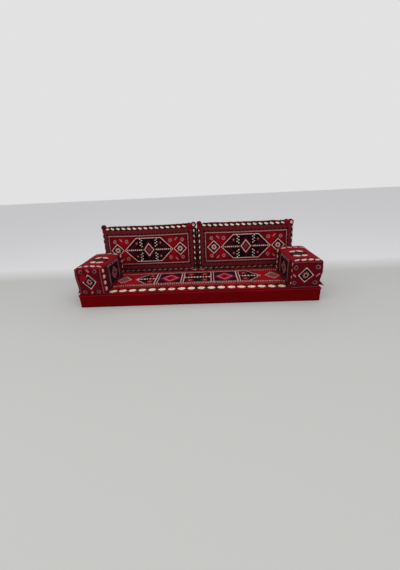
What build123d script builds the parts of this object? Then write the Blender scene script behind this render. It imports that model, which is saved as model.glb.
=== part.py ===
from build123d import *
import os
from math import cos, radians, sin, sqrt

os.makedirs("parts", exist_ok=True)

# A majlis floor sofa: five loose covered cushions. X runs along the seat, the front
# faces -Y, Z is up, and the origin is the centre of the seat's underside. Millimetres.

# Seat cushion
seat_length = 1900
seat_depth = 650
seat_thickness = 105
seat_crown = 5
seat_draw = 3
seat_corner = 14
seat_zip_margin = 200
seat_zip_height = 52
piping_radius = 2.5
piping_proud = 3.2
piping_drop = 5
groove_clearance = 0.1

# Arm cushions: each one's distance from the seat's end and front is its own
arm_width = 216
arm_length = 458
arm_height = 212
arm_crown = 9
arm_draw = 4
arm_end_draw = 3
arm_edge_radius = 12
left_arm_inset = 10
left_arm_setback = 14
right_arm_inset = 20
right_arm_setback = 5
arm_zip_margin = 39
arm_zip_height = 24
flap_margin = 17
flap_thickness = 1.6
flap_seam_height = 58
flap_fold_height = 50
flap_belly = 9
flap_belly_height = 28
flap_flare = 18
flap_hem_height = 3

# Back cushions: the seam plane between front and rear panels leans towards the wall
back_length = 893
back_height = 433
back_half_thickness = 54
back_half_foot = 50
back_half_top = 22
back_swell_height = 150
back_root_depth = 30
back_lean = 4
back_corner_rise = 6
back_draw = 6
back_wall_press = 5
back_gap = 4
back_offset = -12.5
back_zip_margin = 226.5
back_zip_height = 150

# Gathered ears at the back cushions' top corners, and the bands that tie them
ear_angle = 17
ear_inward = 78
ear_down = 37
ear_neck_radius = 14
ear_knob_radius = 25
tie_length = 34
tie_radius = 33
tie_edge_radius = 26

# Covers, fillings and clearances
cover_thickness = 2
filling_clearance = 0.4
rest_gap = 0.3
running_clearance = 0.3
cut_overrun = 40

# Zips: a tape in a slot of the cover, a coil chain on it, a slider and its hanging pull
tape_width = 15
tape_thickness = 0.8
chain_width = 5
chain_thickness = 1.6
slider_length = 12
slider_width = 9
slider_height = 3.4
slider_end_margin = 6
bridge_height = 1.6
bridge_radius = 0.8
bridge_post_length = 1.8
pull_knuckle_radius = 1.6
pull_length = 16
pull_thickness = 1.2

# Where the lofted sections stand along a cushion, and how far each one swells
seat_place_shares = (-1, -0.54, -0.14, 0.26, 0.66, 1)
seat_rise_shares = (0.1, 0.8, 1, 0.8, 0.1, 0.1)
arm_place_shares = (-1, -0.5, 0, 0.5, 1)
arm_rise_shares = (0.45, 0.85, 1, 0.85, 0.45)
back_place_shares = (-1, -0.94, -0.8, -0.5, 0, 0.5, 0.8, 0.94, 1)
back_swell_shares = (0.3, 0.72, 0.93, 1, 1, 1, 0.93, 0.72, 0.3)
round_share = 0.7

filling_inset = cover_thickness + filling_clearance
seat_zip_length = seat_length - 2 * seat_zip_margin
arm_zip_length = arm_length - 2 * arm_zip_margin
flap_length = arm_length - 2 * flap_margin
back_zip_length = back_length - 2 * back_zip_margin
wall_y = seat_depth / 2
arm_base_z = seat_thickness + rest_gap
back_base_z = seat_thickness + seat_crown * seat_rise_shares[-1] + rest_gap
open_seat_half = (
    seat_length / 2 - arm_width - max(left_arm_inset, right_arm_inset)
)


def seat_outline(inset):
    """Seat's plan inside the current line block: rear straight, other sides drawn in."""
    half = seat_length / 2 - inset
    rear = seat_depth / 2 - inset
    Line((-half, rear), (half, rear))
    ThreePointArc((half, rear), (half - seat_draw, 0), (half, -rear))
    ThreePointArc((half, -rear), (0, seat_draw - rear), (-half, -rear))
    ThreePointArc((-half, -rear), (seat_draw - half, 0), (-half, rear))


def seat_form(inset):
    """Seat block, smaller all round by the inset, crowned between the arms."""
    top = seat_thickness - inset
    half = seat_length / 2 + cut_overrun
    with BuildPart() as form:
        for place, rise in zip(seat_place_shares, seat_rise_shares):
            section_y = place * (seat_depth / 2 + cut_overrun / 4)
            with BuildSketch(Plane.XZ.offset(-section_y)):
                with BuildLine():
                    Polyline(
                        (open_seat_half, top),
                        (half, top),
                        (half, inset),
                        (-half, inset),
                        (-half, top),
                        (-open_seat_half, top),
                    )
                    ThreePointArc(
                        (-open_seat_half, top),
                        (0, top + rise * seat_crown),
                        (open_seat_half, top),
                    )
                make_face()
        loft()
        with BuildSketch():
            with BuildLine():
                seat_outline(inset)
            make_face()
            fillet(vertices(), radius=seat_corner - inset)
        extrude(amount=seat_thickness + cut_overrun, mode=Mode.INTERSECT)
    return form.part


def arm_form(inner_x, outer_x, front_y, inset):
    """Arm block between two X faces, smaller all round by the inset, crowned on top."""
    outward = 1 if outer_x > inner_x else -1
    centre_y = front_y + arm_length / 2
    half_length = arm_length / 2 - inset
    outer = outer_x - outward * inset
    base = arm_base_z + inset
    top = arm_base_z + arm_height - inset
    with BuildPart() as form:
        for place, rise in zip(arm_place_shares, arm_rise_shares):
            section_y = centre_y + place * (half_length + arm_draw)
            drawn = arm_draw * (1 - place**2)
            inner = inner_x + outward * (inset + drawn)
            with BuildSketch(Plane.XZ.offset(-section_y)):
                with BuildLine():
                    Polyline((inner, top), (inner, base), (outer, base), (outer, top))
                    ThreePointArc(
                        (outer, top),
                        ((inner + outer) / 2, top + rise * arm_crown),
                        (inner, top),
                    )
                make_face()
                fillet(
                    vertices().group_by(Axis.Z)[-1],
                    radius=arm_edge_radius - inset,
                )
        loft()
        with BuildSketch(Plane.XY.offset(base)):
            with BuildLine():
                wide = arm_width + cut_overrun
                centre_x = (inner_x + outer_x) / 2
                front = centre_y - half_length
                rear = centre_y + half_length
                Line((centre_x - wide, front), (centre_x - wide, rear))
                ThreePointArc(
                    (centre_x - wide, rear),
                    (centre_x, rear - arm_end_draw),
                    (centre_x + wide, rear),
                )
                Line((centre_x + wide, rear), (centre_x + wide, front))
                ThreePointArc(
                    (centre_x + wide, front),
                    (centre_x, front + arm_end_draw),
                    (centre_x - wide, front),
                )
            make_face()
        extrude(amount=arm_height + cut_overrun, mode=Mode.INTERSECT)
    return form.part


lean = radians(back_lean)
back_up = Vector(0, sin(lean), cos(lean))
back_rearward = Vector(0, cos(lean), -sin(lean))
back_seam_y = (
    wall_y
    + back_wall_press
    - back_half_thickness
    - back_swell_height * sin(lean)
)


def back_seam_plane(centre_x):
    """Leaning plane of a back cushion's seam, facing the front, at its foot's middle."""
    return Plane(
        origin=(centre_x, back_seam_y, back_base_z),
        x_dir=(1, 0, 0),
        z_dir=-back_rearward,
    )


def back_form(centre_x, inset):
    """Back pillow, smaller all round by the inset, flat where it stands and leans."""
    half_length = back_length / 2 - inset
    with BuildPart() as form:
        for place, swell in zip(back_place_shares, back_swell_shares):
            section = Plane(
                origin=(centre_x + place * half_length, back_seam_y, back_base_z),
                x_dir=back_rearward,
                z_dir=(1, 0, 0),
            )
            foot = swell * back_half_foot - inset
            belly = swell * back_half_thickness - inset
            crest = swell * back_half_top - inset
            top = back_height + back_corner_rise * place**2 - inset
            with BuildSketch(section):
                with BuildLine():
                    Line((-foot, -back_root_depth), (foot, -back_root_depth))
                    ThreePointArc(
                        (foot, -back_root_depth),
                        (belly, back_swell_height),
                        (crest, top),
                    )
                    Line((crest, top), (-crest, top))
                    ThreePointArc(
                        (-crest, top),
                        (-belly, back_swell_height),
                        (-foot, -back_root_depth),
                    )
                make_face()
                fillet(
                    vertices().group_by(Axis.Z)[-2:],
                    radius=crest * round_share,
                )
        loft()
        tall = back_height + cut_overrun
        with BuildSketch(back_seam_plane(centre_x)):
            with BuildLine():
                Line((-half_length, tall), (half_length, tall))
                ThreePointArc(
                    (half_length, tall),
                    (half_length - back_draw, tall / 2),
                    (half_length, -back_root_depth),
                )
                Line((half_length, -back_root_depth), (-half_length, -back_root_depth))
                ThreePointArc(
                    (-half_length, -back_root_depth),
                    (back_draw - half_length, tall / 2),
                    (-half_length, tall),
                )
            make_face()
        extrude(
            amount=back_half_thickness + cut_overrun,
            both=True,
            mode=Mode.INTERSECT,
        )
        split(bisect_by=Plane.XY.offset(back_base_z + inset), keep=Keep.TOP)
        split(bisect_by=Plane.XZ.offset(inset - wall_y), keep=Keep.TOP)
    return form.part


def zip_section(zip_plane, along):
    """Plane across a zip at a distance along it: local X is up, local Y is outwards."""
    return Plane(
        origin=zip_plane.from_local_coords((along, 0, 0)),
        x_dir=zip_plane.y_dir,
        z_dir=zip_plane.x_dir,
    )


def write_zip(name, zip_plane, zip_length):
    """Write the four pieces of one zip, on a plane in the cover's outer face."""
    tape_bottom = -cover_thickness
    chain_bottom = tape_bottom + tape_thickness
    slider_bottom = chain_bottom + running_clearance
    slider_top = slider_bottom + slider_height
    bridge_centre = slider_top + bridge_height
    rest_place = zip_length / 2 - slider_length / 2 - slider_end_margin
    section = zip_section(zip_plane, rest_place)

    with BuildPart() as zip_tape:
        with BuildSketch(zip_plane.offset(tape_bottom)):
            Rectangle(zip_length, tape_width)
        extrude(amount=tape_thickness)
    zip_tape.part.label = f"{name}_zip_tape"
    export_step(zip_tape.part, f"parts/{name}_zip_tape.step")

    with BuildPart() as zip_chain:
        with BuildSketch(zip_plane.offset(chain_bottom)):
            Rectangle(zip_length, chain_width)
        extrude(amount=chain_thickness)
        fillet(
            zip_chain.faces().sort_by(Axis(zip_plane.origin, zip_plane.z_dir))[-1].edges(),
            radius=chain_thickness / 3,
        )
    zip_chain.part.label = f"{name}_zip_chain"
    export_step(zip_chain.part, f"parts/{name}_zip_chain.step")

    with BuildPart() as zip_slider:
        with BuildSketch(section):
            with Locations((0, slider_bottom)):
                Rectangle(slider_width, slider_height, align=(Align.CENTER, Align.MIN))
                Rectangle(
                    chain_width + 2 * running_clearance,
                    chain_thickness,
                    align=(Align.CENTER, Align.MIN),
                    mode=Mode.SUBTRACT,
                )
        extrude(amount=slider_length / 2, both=True)
        post_place = (slider_length - bridge_post_length) / 2
        with BuildSketch(section.offset(post_place), section.offset(-post_place)):
            with Locations((0, slider_top)):
                Rectangle(
                    2 * bridge_radius,
                    bridge_height,
                    align=(Align.CENTER, Align.MIN),
                )
            with Locations((0, bridge_centre)):
                Circle(bridge_radius)
        extrude(amount=bridge_post_length / 2, both=True)
        with BuildSketch(section):
            with Locations((0, bridge_centre)):
                Circle(bridge_radius)
        extrude(amount=slider_length / 2, both=True)
    zip_slider.part.label = f"{name}_zip_slider"
    export_step(zip_slider.part, f"parts/{name}_zip_slider.step")

    bar_length = slider_length - 2 * bridge_post_length
    with BuildPart() as zip_pull:
        with BuildSketch(section):
            with Locations((0, bridge_centre)):
                Circle(pull_knuckle_radius)
                Rectangle(pull_length, pull_thickness, align=(Align.MAX, Align.CENTER))
                Circle(bridge_radius + running_clearance / 2, mode=Mode.SUBTRACT)
        extrude(amount=bar_length / 2 - running_clearance, both=True)
    zip_pull.part.label = f"{name}_zip_pull"
    export_step(zip_pull.part, f"parts/{name}_zip_pull.step")


# Seat: foam in a cover of three panels, with piping round the top seam
seat_outer = seat_form(0)
seat_void = seat_form(cover_thickness)
seat_zip_plane = Plane(
    origin=(0, wall_y, seat_zip_height),
    x_dir=(-1, 0, 0),
    z_dir=(0, 1, 0),
)

with BuildPart() as seat_foam:
    add(seat_form(filling_inset))
seat_foam.part.label = "seat_foam"
export_step(seat_foam.part, "parts/seat_foam.step")

piping_inset = piping_radius - piping_proud
seat_seam = Plane.XY.offset(seat_thickness - piping_drop)
with BuildSketch(seat_seam) as piping_plan:
    with BuildLine():
        seat_outline(piping_inset)
    make_face()
    fillet(vertices(), radius=seat_corner - piping_inset)
piping_path = piping_plan.sketch.face().outer_wire()

with BuildPart() as seat_piping:
    with BuildSketch(piping_path ^ 0):
        Circle(piping_radius)
    sweep(path=piping_path)
seat_piping.part.label = "seat_piping"
export_step(seat_piping.part, "parts/seat_piping.step")

with BuildPart() as piping_groove:
    with BuildSketch(piping_path ^ 0):
        Circle(piping_radius + groove_clearance)
    sweep(path=piping_path)

with BuildPart() as seat_top_panel:
    add(seat_outer)
    add(seat_void, mode=Mode.SUBTRACT)
    split(bisect_by=seat_seam, keep=Keep.TOP)
    add(piping_groove.part, mode=Mode.SUBTRACT)
seat_top_panel.part.label = "seat_top_panel"
export_step(seat_top_panel.part, "parts/seat_top_panel.step")

with BuildPart() as seat_border:
    add(seat_outer)
    add(seat_void, mode=Mode.SUBTRACT)
    split(bisect_by=seat_seam, keep=Keep.BOTTOM)
    split(bisect_by=Plane.XY.offset(cover_thickness), keep=Keep.TOP)
    add(piping_groove.part, mode=Mode.SUBTRACT)
    with BuildSketch(seat_zip_plane):
        Rectangle(seat_zip_length, tape_width)
    extrude(amount=2 * cover_thickness, both=True, mode=Mode.SUBTRACT)
seat_border.part.label = "seat_border"
export_step(seat_border.part, "parts/seat_border.step")

with BuildPart() as seat_base_panel:
    add(seat_outer)
    split(bisect_by=Plane.XY.offset(cover_thickness), keep=Keep.BOTTOM)
seat_base_panel.part.label = "seat_base_panel"
export_step(seat_base_panel.part, "parts/seat_base_panel.step")

write_zip("seat", seat_zip_plane, seat_zip_length)

# Arms: a foam block, a wrap over inner side, top and outer side, two ends and a base
arm_places = (
    ("left_arm", -1, left_arm_inset, left_arm_setback),
    ("right_arm", 1, right_arm_inset, right_arm_setback),
)
for name, outward, end_inset, setback in arm_places:
    outer_x = outward * (seat_length / 2 - end_inset)
    inner_x = outer_x - outward * arm_width
    front_y = setback - seat_depth / 2
    rear_y = front_y + arm_length
    middle_y = (front_y + rear_y) / 2
    seam_inset = cover_thickness + arm_end_draw
    arm_outer = arm_form(inner_x, outer_x, front_y, 0)
    arm_void = arm_form(inner_x, outer_x, front_y, cover_thickness)
    base_seam = Plane.XY.offset(arm_base_z + cover_thickness)
    front_seam = Plane.XZ.offset(-front_y - seam_inset)
    rear_seam = Plane.XZ.offset(seam_inset - rear_y)
    arm_zip_plane = Plane(
        origin=(outer_x, middle_y, arm_base_z + arm_zip_height),
        x_dir=(0, outward, 0),
        z_dir=(outward, 0, 0),
    )

    with BuildPart() as arm_foam:
        add(arm_form(inner_x, outer_x, front_y, filling_inset))
    arm_foam.part.label = f"{name}_foam"
    export_step(arm_foam.part, f"parts/{name}_foam.step")

    with BuildPart() as arm_base_panel:
        add(arm_outer)
        split(bisect_by=base_seam, keep=Keep.BOTTOM)
    arm_base_panel.part.label = f"{name}_base_panel"
    export_step(arm_base_panel.part, f"parts/{name}_base_panel.step")

    with BuildPart() as arm_front_panel:
        add(arm_outer)
        add(arm_void, mode=Mode.SUBTRACT)
        split(bisect_by=base_seam, keep=Keep.TOP)
        split(bisect_by=front_seam, keep=Keep.TOP)
    arm_front_panel.part.label = f"{name}_front_panel"
    export_step(arm_front_panel.part, f"parts/{name}_front_panel.step")

    with BuildPart() as arm_rear_panel:
        add(arm_outer)
        add(arm_void, mode=Mode.SUBTRACT)
        split(bisect_by=base_seam, keep=Keep.TOP)
        split(bisect_by=rear_seam, keep=Keep.BOTTOM)
    arm_rear_panel.part.label = f"{name}_rear_panel"
    export_step(arm_rear_panel.part, f"parts/{name}_rear_panel.step")

    with BuildPart() as arm_wrap:
        add(arm_outer)
        add(arm_void, mode=Mode.SUBTRACT)
        split(bisect_by=base_seam, keep=Keep.TOP)
        split(bisect_by=front_seam, keep=Keep.BOTTOM)
        split(bisect_by=rear_seam, keep=Keep.TOP)
        with BuildSketch(arm_zip_plane):
            Rectangle(arm_zip_length, tape_width)
        extrude(amount=2 * cover_thickness, both=True, mode=Mode.SUBTRACT)
    arm_wrap.part.label = f"{name}_wrap"
    export_step(arm_wrap.part, f"parts/{name}_wrap.step")

    # The flap is sewn to the outer side above the zip and stands off below its fold
    flap_plane = Plane(
        origin=(outer_x, middle_y, arm_base_z),
        x_dir=(outward, 0, 0),
        z_dir=(0, -outward, 0),
    )
    with BuildPart() as arm_zip_flap:
        with BuildSketch(flap_plane):
            with BuildLine():
                Polyline(
                    (0, flap_fold_height),
                    (0, flap_seam_height),
                    (flap_thickness, flap_seam_height),
                    (flap_thickness, flap_fold_height),
                )
                ThreePointArc(
                    (flap_thickness, flap_fold_height),
                    (flap_belly + flap_thickness, flap_belly_height),
                    (flap_flare + flap_thickness, flap_hem_height),
                )
                Line(
                    (flap_flare + flap_thickness, flap_hem_height),
                    (flap_flare, flap_hem_height),
                )
                ThreePointArc(
                    (flap_flare, flap_hem_height),
                    (flap_belly, flap_belly_height),
                    (0, flap_fold_height),
                )
            make_face()
        extrude(amount=flap_length / 2, both=True)
    arm_zip_flap.part.label = f"{name}_zip_flap"
    export_step(arm_zip_flap.part, f"parts/{name}_zip_flap.step")

    write_zip(name, arm_zip_plane, arm_zip_length)

# Back cushions: filling, a front and a rear panel, tied ears and a zip in the rear
back_places = (
    ("left_back", back_offset - (back_length + back_gap) / 2),
    ("right_back", back_offset + (back_length + back_gap) / 2),
)
ear_turn = radians(ear_angle)
knob_start = tie_length + running_clearance
knob_centre = knob_start + sqrt(ear_knob_radius**2 - ear_neck_radius**2)
ear_length = knob_centre + ear_knob_radius
for name, centre_x in back_places:
    seam = back_seam_plane(centre_x)
    back_zip_plane = Plane(
        origin=(centre_x, wall_y, back_base_z + back_zip_height),
        x_dir=(-1, 0, 0),
        z_dir=(0, 1, 0),
    )
    ear_planes = []
    for side in (-1, 1):
        neck = seam.from_local_coords(
            (
                side * (back_length / 2 - ear_inward),
                back_height + back_corner_rise - ear_down,
                0,
            )
        )
        out_dir = seam.x_dir * (side * cos(ear_turn)) + back_up * sin(ear_turn)
        ear_planes.append(Plane(origin=neck, x_dir=out_dir, z_dir=seam.z_dir))

    with BuildPart() as back_ear_room:
        for ear_plane in ear_planes:
            with BuildSketch(Plane(origin=ear_plane.origin, z_dir=ear_plane.x_dir)):
                Circle(tie_radius + running_clearance)
            extrude(amount=ear_length + cut_overrun)

    with BuildPart() as back_fill:
        add(back_form(centre_x, filling_inset))
        add(back_ear_room.part, mode=Mode.SUBTRACT)
    back_fill.part.label = f"{name}_fill"
    export_step(back_fill.part, f"parts/{name}_fill.step")

    with BuildPart() as back_cover:
        add(back_form(centre_x, 0))
        add(back_form(centre_x, cover_thickness), mode=Mode.SUBTRACT)
        add(back_ear_room.part, mode=Mode.SUBTRACT)

    with BuildPart() as back_front_panel:
        add(back_cover.part)
        split(bisect_by=seam, keep=Keep.TOP)
    back_front_panel.part.label = f"{name}_front_panel"
    export_step(back_front_panel.part, f"parts/{name}_front_panel.step")

    with BuildPart() as back_rear_panel:
        add(back_cover.part)
        split(bisect_by=seam, keep=Keep.BOTTOM)
        with BuildSketch(back_zip_plane):
            Rectangle(back_zip_length, tape_width)
        extrude(amount=2 * cover_thickness, both=True, mode=Mode.SUBTRACT)
    back_rear_panel.part.label = f"{name}_rear_panel"
    export_step(back_rear_panel.part, f"parts/{name}_rear_panel.step")

    with BuildPart() as back_corner_ears:
        for ear_plane in ear_planes:
            with BuildSketch(ear_plane):
                with BuildLine():
                    Polyline(
                        (ear_length, 0),
                        (0, 0),
                        (0, ear_neck_radius),
                        (knob_start, ear_neck_radius),
                    )
                    ThreePointArc(
                        (knob_start, ear_neck_radius),
                        (knob_centre, ear_knob_radius),
                        (ear_length, 0),
                    )
                make_face()
            revolve(axis=Axis(ear_plane.origin, ear_plane.x_dir))
    back_corner_ears.part.label = f"{name}_corner_ears"
    export_step(back_corner_ears.part, f"parts/{name}_corner_ears.step")

    with BuildPart() as back_corner_ties:
        for ear_plane in ear_planes:
            with BuildSketch(ear_plane):
                with BuildLine():
                    bore = ear_neck_radius + running_clearance
                    Polyline(
                        (running_clearance, tie_edge_radius),
                        (running_clearance, bore),
                        (tie_length, bore),
                        (tie_length, tie_edge_radius),
                    )
                    ThreePointArc(
                        (tie_length, tie_edge_radius),
                        (tie_length / 2, tie_radius),
                        (running_clearance, tie_edge_radius),
                    )
                make_face()
            revolve(axis=Axis(ear_plane.origin, ear_plane.x_dir))
    back_corner_ties.part.label = f"{name}_corner_ties"
    export_step(back_corner_ties.part, f"parts/{name}_corner_ties.step")

    write_zip(name, back_zip_plane, back_zip_length)
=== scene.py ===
from math import cos, pi, radians, sin, sqrt

import bmesh
import bpy
import numpy as np
from mathutils import Matrix, Vector


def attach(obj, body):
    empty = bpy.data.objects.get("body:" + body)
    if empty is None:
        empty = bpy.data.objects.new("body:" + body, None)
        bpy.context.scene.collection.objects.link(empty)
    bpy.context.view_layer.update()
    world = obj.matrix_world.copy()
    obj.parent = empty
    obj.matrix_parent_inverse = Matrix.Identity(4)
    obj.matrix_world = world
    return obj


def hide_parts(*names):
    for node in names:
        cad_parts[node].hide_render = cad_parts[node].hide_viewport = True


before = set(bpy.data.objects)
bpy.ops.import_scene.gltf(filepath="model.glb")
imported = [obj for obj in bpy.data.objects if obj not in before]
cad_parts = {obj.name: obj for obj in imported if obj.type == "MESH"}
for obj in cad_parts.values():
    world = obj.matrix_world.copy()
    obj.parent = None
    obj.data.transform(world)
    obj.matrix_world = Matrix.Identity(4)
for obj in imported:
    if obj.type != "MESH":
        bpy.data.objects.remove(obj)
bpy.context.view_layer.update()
bpy.ops.object.select_all(action="DESELECT")
scene = bpy.context.scene
print("frame loaded:", len(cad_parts), "nodes")

# the view, the lights and the floor, in metres and degrees
cameraView = {
    "place": (0.1006, -2.1786, 0.9175),
    "pitch": 22.105,
    "turn": 2.462,
    "roll": 2.843,
    "focalPixels": 260.74,
    "frameHeight": 570,
    "sensor": 36,
    "farthest": 60,
}
studio = {
    "worldColour": (0.99, 0.99, 1.0),
    "worldStrength": 0.77,
    "floorColour": (0.49, 0.49, 0.475),
    "backdropColour": (0.72, 0.72, 0.73),
    "backdropFrom": (0.34, 0.40),
    "floorHalf": 14,
    "key": {"place": (0.9, -2.2, 3.4), "aim": (0.0, 0.0, 0.2), "size": 2.6, "power": 48},
    "fill": {"place": (-2.6, -2.4, 1.8), "aim": (0.0, 0.0, 0.2), "size": 2.4, "power": 26},
}


def makeCamera():
    pitch, turn, roll = (radians(cameraView[k]) for k in ("pitch", "turn", "roll"))
    ahead = Vector((-sin(turn) * cos(pitch), cos(turn) * cos(pitch), -sin(pitch)))
    level = Vector((cos(turn), sin(turn), 0))
    upright = level.cross(ahead)
    right = level * cos(roll) - upright * sin(roll)
    up = level * sin(roll) + upright * cos(roll)
    bpy.ops.object.camera_add(location=cameraView["place"])
    camera = bpy.context.object
    turned = Matrix((right, up, -ahead)).transposed().to_4x4()
    camera.matrix_world = Matrix.Translation(cameraView["place"]) @ turned
    sensor = cameraView["sensor"]
    camera.data.sensor_width = sensor
    camera.data.lens = cameraView["focalPixels"] * sensor / cameraView["frameHeight"]
    camera.data.clip_end = cameraView["farthest"]
    scene.camera = camera


def makeLight(name, part):
    away = Vector(part["place"]) - Vector(part["aim"])
    turned = away.to_track_quat("Z", "Y").to_euler()
    bpy.ops.object.light_add(type="AREA", location=part["place"], rotation=turned)
    light = bpy.context.object
    light.name = name
    light.data.energy = part["power"]
    light.data.size = part["size"]


makeCamera()
makeLight("keyLight", studio["key"])
makeLight("fillLight", studio["fill"])
scene.view_settings.view_transform = "Standard"
world = bpy.data.worlds.new("studioWorld")
scene.world = world
world.use_nodes = True
world.node_tree.nodes["Background"].inputs[0].default_value = (*studio["worldColour"], 1)
world.node_tree.nodes["Background"].inputs[1].default_value = studio["worldStrength"]
print("camera and light ready")


class Wire:  # a socket that sums can be written with
    def __init__(self, tree, socket):
        self.tree = tree
        self.socket = socket

    def sum(self, operation, *values):
        settings = {"operation": operation}
        return put(self.tree, "ShaderNodeMath", settings, dict(enumerate(values)))

    def __rsub__(self, other):
        return self.sum("SUBTRACT", other, self)

    def snap(self, step):
        return self.sum("SNAP", self, step) + step / 2


wireSums = {
    "__add__": "ADD",
    "__radd__": "ADD",
    "__sub__": "SUBTRACT",
    "__mul__": "MULTIPLY",
    "__rmul__": "MULTIPLY",
    "__truediv__": "DIVIDE",
    "__pow__": "POWER",
    "__lt__": "LESS_THAN",
    "__gt__": "GREATER_THAN",
    "__mod__": "FLOORED_MODULO",
    "__or__": "MAXIMUM",
    "__and__": "MINIMUM",
    "__abs__": "ABSOLUTE",
    "sine": "SINE",
    "cosine": "COSINE",
    "angleTo": "ARCTAN2",
}
for sumName, operation in wireSums.items():
    setattr(
        Wire, sumName,
        lambda wire, *others, operation=operation: wire.sum(operation, wire, *others),
    )


def put(tree, kind, settings=None, sockets=None, output=0):
    node = tree.nodes.new(kind)
    for name, value in (settings or {}).items():
        setattr(node, name, value)
    for name, value in (sockets or {}).items():
        if isinstance(value, Wire):
            tree.links.new(value.socket, node.inputs[name])
        else:
            node.inputs[name].default_value = value
    return Wire(tree, node.outputs[output])


def tone(red, green, blue):  # a colour as seen on a screen, made linear
    shares = (red / 255, green / 255, blue / 255)
    return tuple(s / 12.92 if s < 0.04045 else ((s + 0.055) / 1.055) ** 2.4 for s in shares)


def darker(colour, share):
    return tuple(part * share for part in colour)


class Finish:  # one material and the means to paint on it
    def __init__(self, name, **constants):
        self.material = bpy.data.materials.new(name)
        self.material.use_nodes = True
        self.tree = self.material.node_tree
        self.shader = self.tree.nodes["Principled BSDF"]
        for socket, value in constants.items():
            self.shader.inputs[socket.replace("_", " ")].default_value = value

    def put(self, kind, settings=None, sockets=None, output=0):
        return put(self.tree, kind, settings, sockets, output)

    def feed(self, socket, wire):
        self.tree.links.new(wire.socket, self.shader.inputs[socket])

    def apart(self, where):  # the first two parts of a place
        first = self.put("ShaderNodeSeparateXYZ", None, {0: where})
        return first, Wire(self.tree, first.socket.node.outputs[1])

    def cloth(self):  # flat cloth coordinates, in metres
        flat = self.put("ShaderNodeUVMap", {"uv_map": "cloth"})
        return flat, *self.apart(flat)

    def place(self):
        return self.put("ShaderNodeTexCoord", None, None, 3)

    def stretch(self, where, scale):
        return self.put("ShaderNodeMapping", None, {"Vector": where, "Scale": scale})

    def noise(self, where, scale, detail=2, roughness=0.5):
        sockets = {"Vector": where, "Scale": scale, "Detail": detail, "Roughness": roughness}
        return self.put("ShaderNodeTexNoise", None, sockets)

    def mix(self, share, first, second, blend="MIX"):
        sockets = {}
        for index, value in ((0, share), (6, first), (7, second)):
            sockets[index] = (*value, 1) if isinstance(value, tuple) else value
        settings = {"data_type": "RGBA", "blend_type": blend}
        return self.put("ShaderNodeMix", settings, sockets, 2)

    def layers(self, ground, *painted):  # dyes over a ground dye, each where its mask is
        ground = dyes[ground]
        for mask, dye in painted:
            ground = self.mix(mask, ground, dyes[dye])
        return ground

    def bump(self, height, distance):
        sockets = {"Strength": 1, "Distance": distance, "Height": height}
        self.feed("Normal", self.put("ShaderNodeBump", None, sockets))


def limited(value):  # kept between 0 and 1
    return (value & 1) | 0


def anyOf(masks):
    whole, *others = masks
    for mask in others:
        whole = whole | mask
    return whole


def steps(value, *limits, within=None):  # one dye inside another, down to the smallest
    masks = [(value < limit, dye) for limit, dye in limits]
    return masks if within is None else [(within & mask, dye) for mask, dye in masks]


def band(value, centre, half):
    return abs(value - centre) < half


def repeat(value, pitch):  # distance from the middle of the nearest repeat
    return (value + pitch / 2) % pitch - pitch / 2


def dotted(value, pitch, half):
    return abs(repeat(value, pitch)) < half


def diamond(x, y, halfWide, halfTall):  # 1 on the diamond's edge
    return abs(x) / halfWide + abs(y) / halfTall


def glowAt(a, b, peak, x, y, halfWide, halfTall):  # full in the middle, out at a diamond
    return limited(peak - diamond(a - x, b - y, halfWide, halfTall))


def bloom(x, y, radius, petals, depth):  # 1 on the flower's edge, and on its round core's
    reach = (x * x + y * y) ** 0.5
    edge = radius * (1 - depth) + radius * depth * (y.angleTo(x) * petals).cosine()
    return reach / edge, reach / radius


def blooms(a, b, places, core, *shape):  # the same flower at some places, and its cores
    found = [bloom(a - x, b - y, *shape) for x, y in places]
    return anyOf([edge < 1 for edge, _ in found]), anyOf([reach < core for _, reach in found])


def slashMark(x, y, long, half):  # a short stroke across a corner
    return (abs(x - y) < half * 2) & (abs(x + y) < long * 1.3)


def longHexagon(cloth, a, b):  # how far outside the long hexagon a point is
    slope = cloth["hexTip"] - cloth["hexFlat"]
    toEdge = 1 / sqrt(1 / slope**2 + 1 / cloth["hexHalf"] ** 2)
    slant = ((a - cloth["hexFlat"]) / slope + b / cloth["hexHalf"] - 1) * toEdge
    return slant | (b - cloth["hexHalf"])


def insideOf(x, y, corners):  # how far inside an outline a point is
    depth = None
    for (fromX, fromY), (toX, toY) in zip(corners, corners[1:] + corners[:1]):
        stepX, stepY = toX - fromX, toY - fromY
        away = ((y - fromY) * stepX - (x - fromX) * stepY) / sqrt(stepX**2 + stepY**2)
        depth = away if depth is None else depth & away
    return depth


dyes = {
    "red": tone(109, 4, 16),
    "brightRed": tone(176, 8, 30),
    "seatRed": tone(136, 5, 24),
    "endRed": tone(108, 4, 24),
    "crimson": tone(112, 8, 42),
    # painted highlight: a brighter crimson for the face of the painted fold and for the rounded
    # edge past each end panel's seam
    "foldRed": tone(130, 10, 30),
    "armRed": tone(142, 8, 26),
    "dustyRose": tone(150, 98, 100),
    "deepRed": tone(84, 2, 13),
    "maroon": tone(70, 10, 18),
    "brown": tone(104, 30, 35),
    "black": tone(12, 6, 8),
    "navy": tone(34, 6, 24),
    "purple": tone(74, 12, 42),
    "plum": tone(96, 60, 66),
    "mauve": tone(172, 122, 124),
    "pink": tone(200, 102, 106),
    "palePink": tone(214, 166, 160),
    "rosePink": tone(226, 116, 122),
    "blush": tone(236, 190, 180),
    "cream": tone(248, 232, 214),
    # painted shade: the cream beads darkened where the cushion's bottom edge curves under in
    # shadow
    "shadeCream": tone(146, 118, 110),
    "oval": tone(252, 236, 204),
    "frameRose": tone(126, 84, 90),
    "petal": tone(240, 200, 190),
}
weave = {
    "knot": 0.003,
    "wander": 0.003,
    "rib": 0.0034,
    "ribHeight": 0.0007,
    "coil": 0.0026,
    "worn": tone(96, 40, 48),
    "wornMost": 0.75,
    "faded": tone(150, 90, 90),
}


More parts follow.
